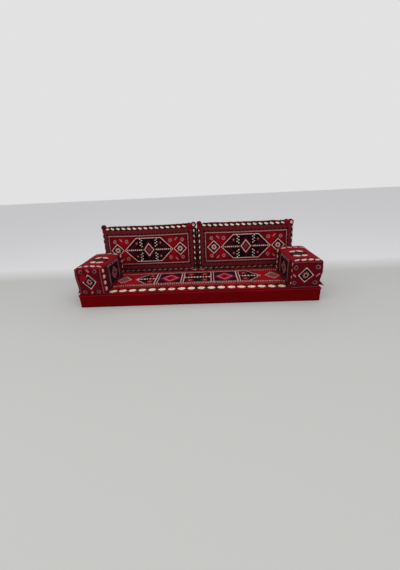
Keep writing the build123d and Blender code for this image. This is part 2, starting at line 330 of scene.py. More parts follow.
def kilimFinish(name, pattern):
    finish = Finish(
        name, Roughness=0.92, Specular_IOR_Level=0.06, Sheen_Weight=0.03,
        Sheen_Roughness=0.5, Sheen_Tint=(0.9, 0.2, 0.25, 1),
    )
    flat, across, along = finish.cloth()
    wander = finish.noise(flat, 26, 1) * weave["wander"] - weave["wander"] / 2
    x = (across + wander).snap(weave["knot"])
    y = (along + wander).snap(weave["knot"])
    colour = pattern(finish, x, y)
    yarn = finish.noise(flat, 420, 2, 0.6)
    worn = finish.noise(flat, 9, 3, 0.6)
    streak = finish.noise(finish.stretch(flat, (150, 14, 1)), 1.0, 2, 0.6)
    batch = finish.noise(finish.stretch(flat, (2, 46, 1)), 1.0, 2, 0.5)
    dull = yarn * 0.30 + ((streak - 0.42) | 0) * 1.5 + ((batch - 0.5) | 0) * 0.9
    colour = finish.mix(dull & weave["wornMost"], colour, weave["worn"], "MULTIPLY")
    colour = finish.mix(worn * 0.25, colour, weave["faded"], "SOFT_LIGHT")
    finish.feed("Base Color", colour)
    rib = (across * (2 * pi / weave["rib"])).sine()
    weft = (along * (2 * pi / (weave["rib"] * 0.45))).sine()
    finish.bump(rib * 0.3 + weft * 0.12 + yarn * 0.5, weave["ribHeight"])
    return finish.material


# kilim patterns, in metres from the middle of the panel
backCloth = {
    "frame": (0.3745, 0.134),
    "frameHalf": 0.0042,
    "innerLine": (-0.0085, 0.0040),
    "edge": (0.4465, 0.2165),
    "edgeLine": (0.0545, 0.0036),
    "hem": 0.083,
    "beadPitch": 0.0521,
    "beadShift": -0.020,
    "beadRow": 0.0690,
    "bead": (0.0185, 0.0120),
    "beadCore": (0.0125, 0.0072),
    "beadZone": (0.0695, 0.0125),
    "endBeadLess": 0.25,
    "dash": (0.0132, 0.0058, 0.0018),
    "dashRow": (0.036, 0.0100),
    "sideDiamond": (0.298, 0.0625, 0.0640),
    "sideFlower": (0.0275, 8, 0.16),
    "hexTip": 0.2310,
    "hexFlat": 0.1180,
    "hexHalf": 0.1152,
    "hexLine": 0.0058,
    "stripe": (0.014, 0.0045),
    "bar": (0.057, 0.209, 0.0066),
    "barBeads": (0.0187, 0.0053),
    "checker": (0.0650, 0.0785, 0.027, 0.1085),
    "checkerStep": 0.0270,
    "checkerDot": (0.0047, 0.0046),
    "middle": (0.0485, 0.0655),
    "star": (0.1135, 0.0635),
    "starShape": (0.0195, 6, 0.34),
    "wedge": (0.150, 0.034, 0.016),
    "rings": ((0.2067, 0.0825), (0.3205, 0.0825)),
    "ringShape": (0.0185, 8, 0.14),
    "slash": (0.262, 0.094, 0.018, 0.0042),
    "glow": (1.6, 0.235, 0.035, 0.085, 0.085),
}


def backPattern(finish, x, y):
    p = backCloth
    a, b = abs(x), abs(y)
    frameX, frameY = p["frame"]
    sideRatio = (p["edge"][1] - frameY) / (p["edge"][0] - frameX)
    outX, outY = (a - frameX) * sideRatio, b - frameY
    out = outX | outY
    onSide = outX > outY
    along = (x - p["beadShift"]) * (1 - onSide) + y * onSide
    inField = out < 0
    # the field
    hexagon = longHexagon(p, a, b)
    inHex = hexagon < 0
    sideX, sideWide, sideTall = p["sideDiamond"]
    side = diamond(a - sideX, y, sideWide, sideTall)
    middle = diamond(x, y, *p["middle"])
    flower, flowerCore = bloom(a - sideX, b, *p["sideFlower"])
    starX, starY = p["star"]
    star, starCore = bloom(a - starX, b - starY, *p["starShape"])
    wedgeX, wedgeY, wedgeHalf = p["wedge"]
    wedge = band(b, wedgeY, wedgeHalf) & (abs(a - wedgeX) < (b - p["stripe"][0]) * 1.5)
    rings, ringCores = blooms(a, b, p["rings"], 0.34, *p["ringShape"])
    slashX, slashY, *slashSize = p["slash"]
    barFrom, barTo, barHalf = p["bar"]
    bar = (b < barHalf) & (a > barFrom) & (a < barTo)
    firstX, lastX, fromY, toY = p["checker"]
    step, (dotX, dotY) = p["checkerStep"], p["checkerDot"]
    firstDots = band(a, firstX, dotX) & dotted(b - step / 4, step, dotY)
    lastDots = band(a, lastX, dotX) & dotted(b + step / 4, step, dotY)
    checker = (firstDots | lastDots) & (b > fromY) & (b < toY)
    # the border
    dashOut, dashHalf, sideMore = p["dash"]
    dash = (abs(out - dashOut) < onSide * sideMore + dashHalf) & dotted(along, *p["dashRow"])
    beadZone = band(out, *p["beadZone"])
    beadAlong, beadAcross = repeat(along, p["beadPitch"]), out - p["beadRow"]
    slope = beadAlong + beadAcross * 0.7
    slim = 1 - onSide * p["endBeadLess"]  # the beads down the ends are smaller
    (beadLong, beadHalf), (coreLong, coreHalf) = p["bead"], p["beadCore"]
    lens = (abs(slope) / beadLong + abs(beadAcross) / beadHalf) < slim
    lens = lens | ((abs(slope) < slim * coreLong) & (abs(beadAcross) < slim * coreHalf))
    notch = (abs(beadAlong) < 0.002) & (out > 0.0720)
    sliver = band(abs(beadAlong), 0.0215, 0.0022) & (abs(beadAcross) < 0.0090)
    return finish.layers(
        "red",
        (glowAt(a, b, *p["glow"]) * inField * 0.45, "brightRed"),
        (band(out, *p["innerLine"]), "deepRed"),
        (rings, "mauve"),
        (ringCores, "black"),
        (slashMark(a - slashX, b - slashY, *slashSize), "mauve"),
        *steps(side, (1.20, "deepRed"), (1.0, "blush"), (0.86, "black"), (0.64, "maroon")),
        (flower < 1, "palePink"),
        (flowerCore < 0.34, "black"),
        (band(hexagon, 0.0035, 0.0035), "deepRed"),
        (inHex, "blush"),
        (hexagon < -p["hexLine"], "black"),
        (wedge * (hexagon < -0.018) * 0.6, "purple"),
        (star < 1, "endRed"),
        (starCore < 0.42, "pink"),
        (band(b, *p["stripe"]) & inHex & (hexagon < -0.02), "maroon"),
        (checker, "cream"),
        *steps(middle, (1.62, "navy"), (1.38, "maroon"), (1.16, "deepRed"), (1.0, "blush")),
        *steps(middle, (0.83, "deepRed"), (0.46, "plum")),
        (bar, "maroon"),
        (bar & dotted(a, *p["barBeads"]), "petal"),
        (1 - inField, "brown"),
        (band(out, 0, p["frameHalf"]), "mauve"),
        (dash, "black"),
        (out > p["edgeLine"][0], "deepRed"),
        (band(out, *p["edgeLine"]), "black"),
        (beadZone & (lens < 0.5), "black"),
        (beadZone & band(beadAlong, 0.026, 0.0065), "maroon"),
        (beadZone & sliver, "plum"),
        (lens & beadZone, "cream"),
        # the bottom row of beads, by the seat, gets the darker cream: painted shade
        (lens & beadZone & (y < -frameY), "shadeCream"),
        (notch & beadZone, "black"),
        (out > p["hem"], "deepRed"),
    )


seatCloth = {
    "middle": (-0.011, -0.007),
    "hexTip": 0.561,
    "hexFlat": 0.445,
    "hexHalf": 0.1265,
    "hexLine": 0.0068,
    "bars": (0.131, 0.357),
    "barGap": 0.0115,
    "barHalf": 0.0036,
    "dots": (0.0265, 0.0068),
    "dotRow": (0.0130, 0.0125),
    "flowers": ((0.0625, 0.0705), (0.415, 0.0705)),
    "flowerShape": (0.033, 6, 0.2),
    "diamond": (0.2415, 0.074, 0.080),
    "endDiamond": (0.658, 0.067, 0.085),
    "lattice": (0.28, 0.075),
    "hatchRow": 0.140,
    "hatch": (0.0190, 0.0046),
    "pickets": (0.200, 0.030),
    "rim": (0.178, 0.0025),
    "ovalRow": 0.253,
    "ovalPitch": 0.0795,
    "oval": (0.0310, 0.0250),
    "ovalRound": 1.7,
    "tips": (0.228, 0.017, 0.014),
    "feet": (0.272, 0.017, 0.011),
    "tipGlow": (1.8, 0.590, 0.055, 0.080, 0.080),
    "hem": 0.298,
}


def seatPattern(finish, x, y):
    p = seatCloth
    x, y = x - p["middle"][0], y - p["middle"][1]
    a, b = abs(x), abs(y)
    hexagon = longHexagon(p, a, b)
    inHex, inside = hexagon < 0, hexagon < -p["hexLine"]
    panel = (a > p["bars"][0]) & (a < p["bars"][1]) & inside
    lines = anyOf([band(abs(a - barX), p["barGap"], p["barHalf"]) for barX in p["bars"]])
    gap = anyOf([band(a, barX, p["barGap"]) for barX in p["bars"]])
    rowHalf, beadHalf = p["dotRow"]
    dots = (b < rowHalf) & inside & (1 - panel)
    dotBead = dotted(a, *p["dots"]) & (b < beadHalf)
    flowers, cores = blooms(a, b, p["flowers"], 0.35, *p["flowerShape"])
    diamondX, diamondWide, diamondTall = p["diamond"]
    rhomb = diamond(a - diamondX, y, diamondWide, diamondTall)
    endX, endWide, endTall = p["endDiamond"]
    end = diamond(a - endX, y, endWide, endTall)
    pitch, tickHalf = p["hatch"]
    ticks = dotted(x, pitch, tickHalf)
    specks = band(b, 0.212, 0.009) & dotted(x, pitch * 2, 0.006)
    ovalX, ovalY = repeat(x + p["ovalPitch"] / 2, p["ovalPitch"]), b - p["ovalRow"]
    (ovalWide, ovalTall), ovalRound = p["oval"], p["ovalRound"]
    oval = (abs(ovalX) / ovalWide) ** ovalRound + (abs(ovalY) / ovalTall) ** ovalRound
    darts = [
        diamond(repeat(x, p["ovalPitch"]), b - at, wide, tall) < 1
        for at, wide, tall in (p["tips"], p["feet"])
    ]
    tilt = abs(ovalX + ovalY * 0.6) < 0.0018
    glow = limited((finish.noise(finish.cloth()[0], 5, 1) - 0.40) * 4)
    return finish.layers(
        "seatRed",
        (glow * 0.8, "brightRed"),
        (glowAt(a, b, *p["tipGlow"]), "brightRed"),
        (band(b, p["hatchRow"], 0.0135), "deepRed"),
        ((band(b, p["hatchRow"], 0.0110) & ticks) * 0.75, "blush"),
        (band(b, *p["rim"]) * 0.7, "mauve"),
        ((band(b, *p["pickets"]) & ticks) * 0.65, "deepRed"),
        (specks, "black"),
        (anyOf(darts), "black"),
        *steps(oval, (1.22, "deepRed"), (1.0, "oval")),
        (tilt & (oval < 0.7), "blush"),
        *steps(end, (1.12, "deepRed"), (1.0, "blush"), (0.84, "red")),
        (dotted(end, *p["lattice"]) & (end < 0.8), "mauve"),
        (band(hexagon, 0.004, 0.004), "deepRed"),
        (inHex, "blush"),
        (inside, "black"),
        (panel, "navy"),
        (flowers & inside, "brightRed"),
        (cores & inside, "pink"),
        *steps(rhomb, (1.45, "crimson"), (1.0, "rosePink"), within=panel),
        *steps(rhomb, (0.76, "brightRed"), (0.34, "maroon"), within=panel),
        (dots, "red"),
        (dots & dotBead, "cream"),
        (gap & inside, "deepRed"),
        (lines & inHex, "blush"),
        (b > p["hem"], "deepRed"),
    )


armCloth = {
    "topHalf": 0.108,
    "topShift": -0.008,
    "motifAt": (-0.017, -0.031),
    "lobe": (0.028, 0.061, 0.0250, 0.0200),
    "core": (0.044, 0.046),
    "rowAt": 0.180,
    "rowPitch": 0.0495,
    "leaf": (0.0205, 0.0140),
    "sideFrom": 0.113,
    "sideMiddle": 0.214,
    "sideShift": 0.0045,
    "sideColumn": 0.206,
    "sideBead": (0.0170, 0.0185),
    "panel": (0.117, 0.098),
    "panelHole": (0.087, 0.068),
    "sideDiamond": (0.066, 0.056),
    "tickRow": 0.084,
    "hem": 0.300,
}


def wrapPattern(finish, girth, along):
    p = armCloth
    g = abs(girth)
    onTop = g < p["topHalf"]
    tt = along - p["topShift"]
    fromRow = abs(abs(tt) - p["rowAt"])
    slanted = girth + abs(tt) * 0.5 - p["rowAt"] * 0.5
    row = repeat(slanted + p["rowPitch"] / 2, p["rowPitch"])
    leafWide, leafTall = p["leaf"]
    leaf = (abs(row) / leafWide) ** 1.6 + (fromRow / leafTall) ** 1.6
    motifX, motifY = girth - p["motifAt"][0], along - p["motifAt"][1]
    lobeAtX, lobeAtY, lobeWide, lobeTall = p["lobe"]
    lobeX = abs(motifX) - lobeAtX
    lobeY = abs(motifY) - lobeAtY + lobeX * 0.35
    lobe = (lobeX / lobeWide) ** 2 + (lobeY / lobeTall) ** 2
    core = (motifX / p["core"][0]) ** 2 + (motifY / p["core"][1]) ** 2
    slashes = band(abs(motifX) + abs(motifY) * 0.35, 0.060, 0.008) & (abs(motifY) < 0.034)
    # the inner and outer sides
    q, t = g - p["sideMiddle"], along + p["sideShift"]
    onSide = g > p["sideFrom"]
    column = repeat(q + 0.011 + p["rowPitch"] / 2, p["rowPitch"])
    fromColumn = abs(abs(t) - p["sideColumn"])
    beadWide, beadTall = p["sideBead"]
    bead = (abs(column) / beadWide) ** 1.5 + (fromColumn / beadTall) ** 1.5
    frameOut = (abs(t) - p["panel"][0]) | (abs(q) - p["panel"][1])
    frameIn = (abs(t) - p["panelHole"][0]) | (abs(q) - p["panelHole"][1])
    rhomb = diamond(t, q, *p["sideDiamond"])
    ticks = band(abs(q), p["tickRow"], 0.007) & (abs(t) < 0.009)
    shade = band(abs(q), p["tickRow"], 0.006) & band(abs(t), 0.024, 0.011)
    stripes = (frameOut > 0.006) & dotted(abs(t), 0.019, 0.004)
    return finish.layers(
        "armRed",
        (band(abs(tt), p["rowAt"] - 0.033, 0.004) & onTop, "deepRed"),
        (((fromRow < 0.023) & onTop) * 0.8, "deepRed"),
        ((leaf < 1) & onTop & (g < 0.101), "blush"),
        *steps(lobe, (1.6, "black"), (1.0, "petal"), within=onTop),
        (onTop & slashes, "black"),
        *steps(core, (1.0, "black"), (0.66, "plum"), (0.46, "maroon"), within=onTop),
        (onSide, "deepRed"),
        (onSide & stripes, "maroon"),
        ((fromColumn < 0.021) & onSide, "maroon"),
        ((bead < 1) & onSide & (abs(q) < 0.103), "blush"),
        (onSide & (frameOut < 0), "frameRose"),
        (onSide & shade, "black"),
        (onSide & ticks, "mauve"),
        *steps(frameIn, (0.008, "navy"), (0, "black"), within=onSide),
        *steps(rhomb, (1.0, "pink"), (0.82, "deepRed"), within=onSide),
        *steps(rhomb, (0.56, "mauve"), (0.40, "deepRed"), within=onSide),
        (g > p["hem"], "red"),
    )


endCloth = {
    "diamond": (0.0605, 0.0580),
    "flower": (0.0265, 8, 0.2),
    "cornerAt": (0.082, 0.0580),
    "cornerShape": (0.0190, 8, 0.2),
    "seamAt": 0.1035,
    "slashAt": 0.0885,
    "slash": (0.0165, 0.0038),
    "line": (0.0965, 0.0028),
    "lineTicks": (0.009, 0.0034),
    "dots": (0.0870, 0.0022),
    "dotTicks": (0.011, 0.0026),
    "glow": (1.9, 0, 0, 0.070, 0.066),
    # the outline of the fold painted in light and shade on the left arm's front
    "fold": ((0.082, 0.050), (0.000, 0.084), (0.020, 0.006)),
}


def endPattern(finish, x, y, folded=False):
    p = endCloth
    a, b = abs(x), abs(y)
    flower, flowerCore = bloom(x, y, *p["flower"])
    cornerX, cornerY = p["cornerAt"]
    corner, cornerCore = bloom(a - cornerX, b - cornerY, *p["cornerShape"])
    line = band(b, *p["line"]) & dotted(x, *p["lineTicks"])
    dots = band(b, *p["dots"]) & dotted(x, *p["dotTicks"])
    rhomb = diamond(x, y, *p["diamond"])
    painted = [
        (glowAt(a, b, *p["glow"]) | 0.45, "endRed"),
        (cornerCore < 1.22, "maroon"),
        (corner < 1, "dustyRose"),
        (cornerCore < 0.48, "black"),
        (slashMark(a - p["slashAt"], y, *p["slash"]), "mauve"),
        (line * 0.7, "dustyRose"),
        (dots, "black"),
        *steps(rhomb, (1.16, "deepRed"), (1.0, "blush"), (0.875, "black")),
        (flower < 1, "mauve"),
        (flowerCore < 0.34, "black"),
        # past the seam the cloth rolls over the rounded edge; the brighter crimson there is a
        # painted highlight
        ((a | b) > p["seamAt"], "foldRed"),
    ]
    if folded:
        # the fold is painted on the flat front, not shaped: a maroon rim along its outline is
        # painted shadow; inside it the folded cloth hides the pattern in a brighter crimson that
        # is painted highlight, and brighter red towards its middle is more painted highlight
        fold = insideOf(x, y, p["fold"])
        painted += [
            (limited((fold + 0.004) / 0.003), "maroon"),
            (limited(fold / 0.004), "foldRed"),
            (limited(fold / 0.020) * 0.5, "brightRed"),
        ]
    return finish.layers("deepRed", *painted)


def paintedFoldEnd(finish, x, y):  # the left arm's front, where a fold, painted in light and shade on the flat cloth, hides one edge
    return endPattern(finish, x, y, True)


def velvetFinish(name, colour, shine=0.10):
    finish = Finish(
        name, Roughness=0.9, Specular_IOR_Level=0.03, Sheen_Weight=shine,
        Sheen_Roughness=0.4, Sheen_Tint=(0.8, 0.03, 0.06, 1),
    )
    where = finish.place()
    nap = finish.noise(where, 14, 3, 0.6)
    pile = finish.noise(where, 1100, 1)
    brushed = finish.noise(finish.stretch(where, (30, 30, 5)), 1.0, 2)
    shade = finish.mix(nap * 0.5 + brushed * 0.3, colour, darker(colour, 0.62))
    finish.feed("Base Color", finish.mix(pile * 0.4, shade, darker(colour, 0.5)))
    finish.bump(pile * 0.5 + nap * 0.6, 0.0006)
    return finish.material


def plainFinish(name, colour, grain, depth, **constants):
    finish = Finish(name, **constants)
    speck = finish.noise(finish.place(), grain, 3, 0.6)
    finish.feed("Base Color", finish.mix(speck * 0.6, colour, darker(colour, 0.7)))
    finish.bump(speck, depth)
    return finish.material


def coilFinish():  # a zip's coil: fine turns side by side along X or Y, with painted shade between them
    finish = Finish("zipCoil", Roughness=0.45, Specular_IOR_Level=0.3)
    turns = sum((part * (2 * pi / weave["coil"])).sine() for part in finish.apart(finish.place()))
    # the dark colour fills the troughs between the turns: painted shade
    share = limited(turns + 0.6)
    finish.feed("Base Color", finish.mix(share, tone(48, 4, 10), tone(120, 14, 26)))
    finish.bump(turns, 0.0004)
    return finish.material


def floorFinish():
    finish = Finish("studioFloor", Roughness=0.8, Specular_IOR_Level=0.2)
    _, depth = finish.apart(finish.place())
    start, width = studio["backdropFrom"]
    share = limited((depth - start) / width)
    finish.feed("Base Color", finish.mix(share, studio["floorColour"], studio["backdropColour"]))
    return finish.material


def earFinish():
    finish = Finish("earKilim", Roughness=0.9, Specular_IOR_Level=0.12, Sheen_Weight=0.06)
    flat, turn, reach = finish.cloth()
    wander = finish.noise(flat, 3, 2) * 0.5
    streak = (turn * 8 + wander * 2.4) % 1
    facing = repeat(turn - 0.5, 1)
    ragged = finish.noise(flat, 14, 2) * 0.9 - 0.45
    pale = (facing / 0.115) ** 2 + ((reach - 0.45) / 0.16) ** 2 + ragged
    strand = dotted(facing + reach * 0.12, 0.055, 0.011)
    colour = finish.layers(
        "black",
        (streak > 0.50, "deepRed"),
        *steps(pale, (1.3, "black"), (0.9, "mauve"), (0.5, "blush")),
        ((pale < 0.9) & strand, "maroon"),
        (reach < 0.11, "maroon"),
    )
    finish.feed("Base Color", colour)
    finish.bump(finish.noise(finish.place(), 500, 2), 0.0006)
    return finish.material


patterns = {
    "backKilim": backPattern,
    "seatKilim": seatPattern,
    "wrapKilim": wrapPattern,
    "endKilim": endPattern,
    "foldedKilim": paintedFoldEnd,
}
materials = {name: kilimFinish(name, pattern) for name, pattern in patterns.items()}
materials |= {
    "redVelvet": velvetFinish("redVelvet", tone(105, 1, 7)),
    "tieVelvet": velvetFinish("tieVelvet", tone(138, 6, 27), 0.12),
    "piping": velvetFinish("pipingVelvet", tone(156, 6, 26), 0.16),
    "earKilim": earFinish(),
    "filling": plainFinish("cushionFilling", tone(232, 222, 190), 700, 0.0008, Roughness=0.95),
    "zipTape": plainFinish("zipTape", tone(120, 16, 28), 900, 0.0003, Roughness=0.8),
    "zipCoil": coilFinish(),
    "zipMetal": plainFinish(
        "zipMetal", tone(176, 172, 166), 600, 0.0001, Roughness=0.34, Metallic=1.0
    ),
    "floor": floorFinish(),
}
print("materials ready:", len(materials))

# what all the cushions share, in metres
cover = {"thick": 0.002, "fill": 0.8}
swelling = {
    "quality": 4,
    "use_pressure": True,
    "uniform_pressure_force": 4.0,
    "tension_stiffness": 12,
    "compression_stiffness": 12,
    "bending_stiffness": 0.4,
}
swellFrames = 20


def makeActive(piece):
    bpy.ops.object.select_all(action="DESELECT")
    piece.select_set(True)
    bpy.context.view_layer.objects.active = piece


def added(operator, name, **options):  # a new primitive, with nothing else selected
    bpy.ops.object.select_all(action="DESELECT")
    operator(**options)
    piece = bpy.context.object
    piece.name = name
    return piece


def editAll(piece, operator, **options):  # one edit-mode operator on the whole mesh
    makeActive(piece)
    bpy.ops.object.mode_set(mode="EDIT")
    bpy.ops.mesh.select_all(action="SELECT")
    operator(**options)
    bpy.ops.object.mode_set(mode="OBJECT")


def applyModifier(piece, kind, **settings):
    makeActive(piece)
    modifier = piece.modifiers.new("step", kind)
    for name, value in settings.items():
        setattr(modifier, name, value)
    bpy.ops.object.modifier_apply(modifier=modifier.name)


def readAll(piece, attribute):
    values = np.empty(len(piece.data.vertices) * 3)
    piece.data.vertices.foreach_get(attribute, values)
    return values.reshape(-1, 3)


def readPoints(piece):
    return readAll(piece, "co")


def readNormals(piece):
    return readAll(piece, "normal")


def writePoints(piece, points):
    piece.data.vertices.foreach_set("co", np.ascontiguousarray(points).ravel())
    piece.data.update()


def layMap(mesh, flat):  # the flat cloth's coordinates, as the mesh's only map
    while mesh.uv_layers:
        mesh.uv_layers.remove(mesh.uv_layers[0])
    mesh.uv_layers.new(name="cloth").data.foreach_set("uv", flat.ravel())


def cornerPoints(mesh):
    return np.array([loop.vertex_index for loop in mesh.loops])


def gridBox(name, stations):  # a closed box of quads with its loops at the stations
    piece = added(bpy.ops.mesh.primitive_cube_add, name, size=2)
    bpy.ops.object.mode_set(mode="EDIT")
    bpy.ops.mesh.select_mode(type="EDGE")
    for axis, places in enumerate(stations):
        bm = bmesh.from_edit_mesh(piece.data)
        for edge in bm.edges:
            ends = [v.co for v in edge.verts]
            edge.select = abs(ends[0][axis] - ends[1][axis]) > 1e-4
        bmesh.update_edit_mesh(piece.data)
        bpy.ops.mesh.subdivide(number_cuts=len(places) - 2)
    bpy.ops.object.mode_set(mode="OBJECT")
    cube = readPoints(piece)
    grid = np.empty_like(cube)
    for axis, places in enumerate(stations):
        index = np.rint((cube[:, axis] + 1) / 2 * (len(places) - 1)).astype(int)
        grid[:, axis] = np.asarray(places)[index]
    normals = np.array([face.normal for face in piece.data.polygons])
    sides = np.argmax(np.abs(normals), axis=1)
    signs = np.sign(normals[np.arange(len(sides)), sides]).astype(int)
    return piece, grid, sides, signs


def layCloth(piece, grid, sides, signs, panelOf, flatOf):
    mesh = piece.data
    loops = cornerPoints(mesh)
    flat = np.empty((len(loops), 2))
    for face in mesh.polygons:
        corners = slice(face.loop_start, face.loop_start + face.loop_total)
        points = grid[loops[corners]]
        side = (int(sides[face.index]), int(signs[face.index]))
        face.material_index = panelOf(side, points.mean(0))
        flat[corners] = flatOf(face.material_index, side, points)
    layMap(mesh, flat)


def openZip(shell, grid, sides, signs, facing, half, heights, panel):  # faces the zip shows in
    axis, sign = facing
    centres = np.array([grid[list(face.vertices)].mean(0) for face in shell.data.polygons])
    shown = (sides == axis) & (signs == sign) & (np.abs(centres[:, 1 - axis]) < half)
    shown &= (centres[:, 2] > heights[0]) & (centres[:, 2] < heights[1])
    for index in np.flatnonzero(shown):
        shell.data.polygons[index].material_index = panel
    for _ in range(panel + 1):
        shell.data.materials.append(None)


def puff(piece, cap, hold):  # swell the shell, each point up to its cap
    before, normals = readPoints(piece), readNormals(piece)
    makeActive(piece)
    cloth = piece.modifiers.new("swell", "CLOTH")
    for name, value in swelling.items():
        setattr(cloth.settings, name, value)
    cloth.settings.effector_weights.gravity = 0
    cloth.point_cache.frame_start = 1
    cloth.point_cache.frame_end = swellFrames
    for number in range(1, swellFrames + 1):
        scene.frame_set(number)
    bpy.ops.object.modifier_apply(modifier=cloth.name)
    scene.frame_set(1)
    moved = readPoints(piece) - before
    moved -= moved.mean(0)
    outward = (moved * normals).sum(1, keepdims=True)
    sideways = moved - outward * normals
    length = np.linalg.norm(sideways, axis=1, keepdims=True)
    sideways *= np.minimum(1, cap * 0.25 / np.maximum(length, 1e-9))
    moved = normals * np.clip(outward, -0.0005, cap) + sideways
    writePoints(piece, hold(before, before + moved))


def refine(piece):
    applyModifier(piece, "SUBSURF", levels=1, render_levels=1, uv_smooth="NONE")


def copyOf(piece, name):
    twin = piece.copy()
    twin.data = piece.data.copy()
    twin.name = name
    scene.collection.objects.link(twin)
    return twin


def bakeLayout(piece, outer):  # the outer faces fill the map; inner ones keep a strip
    mesh = piece.data
    cloth = np.empty(len(mesh.loops) * 2)
    mesh.uv_layers["cloth"].data.foreach_get("uv", cloth)
    cloth = cloth.reshape(-1, 2)
    totals = [face.loop_total for face in mesh.polygons]
    kind = np.repeat(np.minimum(np.arange(len(totals)) // outer, 2), totals)
    low, high = cloth.min(0), cloth.max(0)
    share = (cloth - low) / np.maximum(high - low, 1e-6)
    share[:, 0] = 0.004 + share[:, 0] * 0.992
    strips = ((0.004, 0.926), (0.94, 0.026), (0.972, 0.024))
    share[:, 1] = np.choose(kind, [start + share[:, 1] * tall for start, tall in strips])
    mesh.uv_layers.new(name="OFBake").data.foreach_set("uv", share.ravel())


def thicken(piece, thickness, offset):  # a wall, with its own place on the bake's map
    outer = len(piece.data.polygons)
    applyModifier(piece, "SOLIDIFY", thickness=thickness, offset=offset)
    bakeLayout(piece, outer)


def dress(piece, material, body, nodes):
    mesh = piece.data
    mesh.materials.clear()
    mesh.materials.append(materials[material])
    mesh.polygons.foreach_set("material_index", np.zeros(len(mesh.polygons), int))
    makeActive(piece)
    bpy.ops.object.shade_smooth()
    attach(piece, body)
    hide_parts(*nodes)


def cutPanel(shell, name, panel, material, body, node):
    piece = copyOf(shell, name)
    makeActive(piece)
    bpy.ops.object.mode_set(mode="EDIT")
    bm = bmesh.from_edit_mesh(piece.data)
    for face in bm.faces:
        face.select = face.material_index != panel
    bm.select_flush(True)
    for face in bm.faces:
        face.select = face.material_index != panel
    bmesh.update_edit_mesh(piece.data)
    bpy.ops.mesh.delete(type="FACE")
    bpy.ops.object.mode_set(mode="OBJECT")
    thicken(piece, cover["thick"], -1)
    dress(piece, material, body, [node])


def cutCovers(shell, body, covers):  # one cover for each panel, named after its cushion
    for panel, (ending, material, node, slot) in enumerate(covers):
        cutPanel(shell, body + ending, panel, material, body, body + node)
    bpy.data.objects.remove(shell)


def fillCushion(shell, name, body, inset):
    piece = copyOf(shell, name)
    editAll(piece, bpy.ops.mesh.vertices_smooth, factor=0.5, repeat=3)
    inset = np.broadcast_to(inset, len(piece.data.vertices))
    writePoints(piece, readPoints(piece) - readNormals(piece) * inset[:, None])
    dress(piece, "filling", body, [name.replace("_core", "")])


def spread(places, step):  # even stations from each place to the next, about a step apart
    found = [places[0]]
    for first, last in zip(places, places[1:]):
        count = max(1, round((last - first) / step))
        found += list(np.linspace(first, last, count + 1))[1:]
    return found


def smoothStep(value):
    value = np.clip(value, 0, 1)
    return value * value * (3 - 2 * value)


def ripple(points, seed, size, count=7):  # soft wandering from a few waves
    random = np.random.default_rng(seed)
    total = np.zeros(len(points))
    for _ in range(count):
        direction = random.normal(size=3)
        direction *= 2 * pi / size / np.linalg.norm(direction) * random.uniform(0.6, 1.5)
        total += np.sin(points @ direction + random.uniform(0, 2 * pi))
    return total / sqrt(count)


def twoWaves(points, seed, sizes):  # a slow one and a fine one
    return [ripple(points, seed + more, size) for more, size in zip((0, 5), sizes)]


def keepUnderside(before, after, base):  # what a cushion stands on stays flat
    after = after.copy()
    low = before[:, 2] < base + 0.0005
    after[low, 2] = before[low, 2]
    after[:, 2] = np.maximum(after[:, 2], base)
    return after


seat = {
    "half": (0.95, 0.325),
    "thick": 0.105,
    "seamZ": 0.100,
    "baseZ": 0.002,
    "crown": 0.005,
    "draw": 0.003,
    "corner": 0.014,
    "openHalf": 0.714,
    "openRear": 0.200,
    "zipHalf": 0.750,
    "zipZ": (0.0445, 0.0595),
    "edge": 0.012,
    "cell": 0.0155,
    "cap": 0.004,
    "fill": 0.95,
    "fillInset": 0.005,
    "wave": 0.16,
    "waveTop": 0.0008,
    "waveSide": 0.0012,
    "pipe": 0.0026,
}


def seatShape(grid):
    halfX, halfY = seat["half"]
    x, y, z = grid.T.copy()
    cornerR = seat["corner"]
    inX, inY = halfX - cornerR, halfY - cornerR
    overX, overY = np.maximum(np.abs(x) - inX, 0), np.maximum(np.abs(y) - inY, 0)
    reach = np.maximum(np.hypot(overX, overY), 1e-9)
    square = np.maximum(overX, overY)
    pull = np.where((overX > 0) & (overY > 0), square / reach, 1)
    x = np.sign(x) * (np.minimum(np.abs(x), inX) + overX * pull)
    y = np.sign(y) * (np.minimum(np.abs(y), inY) + overY * pull)
    x *= 1 - seat["draw"] / halfX * (1 - (y / halfY) ** 2) * (np.abs(x) / halfX) ** 6
    frontness = np.clip(-y / halfY, 0, 1) ** 6
    y = y + seat["draw"] * (1 - (x / halfX) ** 2) * frontness
    onTop = smoothStep((z - 0.09) / 0.015)
    openX = np.clip(1 - (x / seat["openHalf"]) ** 2, 0, 1)
    openY = smoothStep((seat["openRear"] - y) / 0.10) * smoothStep((y + halfY) / 0.05 + 0.4)
    return np.stack([x, y, z + seat["crown"] * onTop * openX * openY], 1)


def seatPanels(side, middle):
    if side == (2, 1) or middle[2] > seat["seamZ"]:
        return 0
    return 2 if side == (2, -1) or middle[2] < seat["baseZ"] else 1


def foldOut(points, side, drop):  # the flat place of a top or base, its rim folded out
    x, y = points[:, 0], points[:, 1]
    axis, sign = side
    x = x + (sign * drop if axis == 0 else 0)
    y = y + (sign * drop if axis == 1 else 0)
    return np.stack([x, y], 1)


def seatFlat(panel, side, points):
    x, y, z = points.T
    if panel != 1:
        return foldOut(points, side, seat["thick"] - z if panel == 0 else z)
    axis, sign = side
    along = y * sign if axis == 0 else -x * sign
    row = ((1, -1), (0, 1), (1, 1), (0, -1)).index(side)
    return np.stack([along, z + row * 0.11], 1)


def seatHold(before, after):
    after = keepUnderside(before, after, 0)
    rearY, thick = seat["half"][1], seat["thick"]
    rear = before[:, 1] > rearY - 0.0005
    after[rear, 1] = before[rear, 1]
    after[:, 1] = np.minimum(after[:, 1], rearY)
    top = before[:, 2] > thick - 0.001
    loaded = top & ((np.abs(before[:, 0]) > 0.700) | (before[:, 1] > 0.185))
    after[loaded, 2] = np.minimum(after[loaded, 2], thick)
    after[:, 2] = np.minimum(after[:, 2], before[:, 2] + 0.003)
    return after


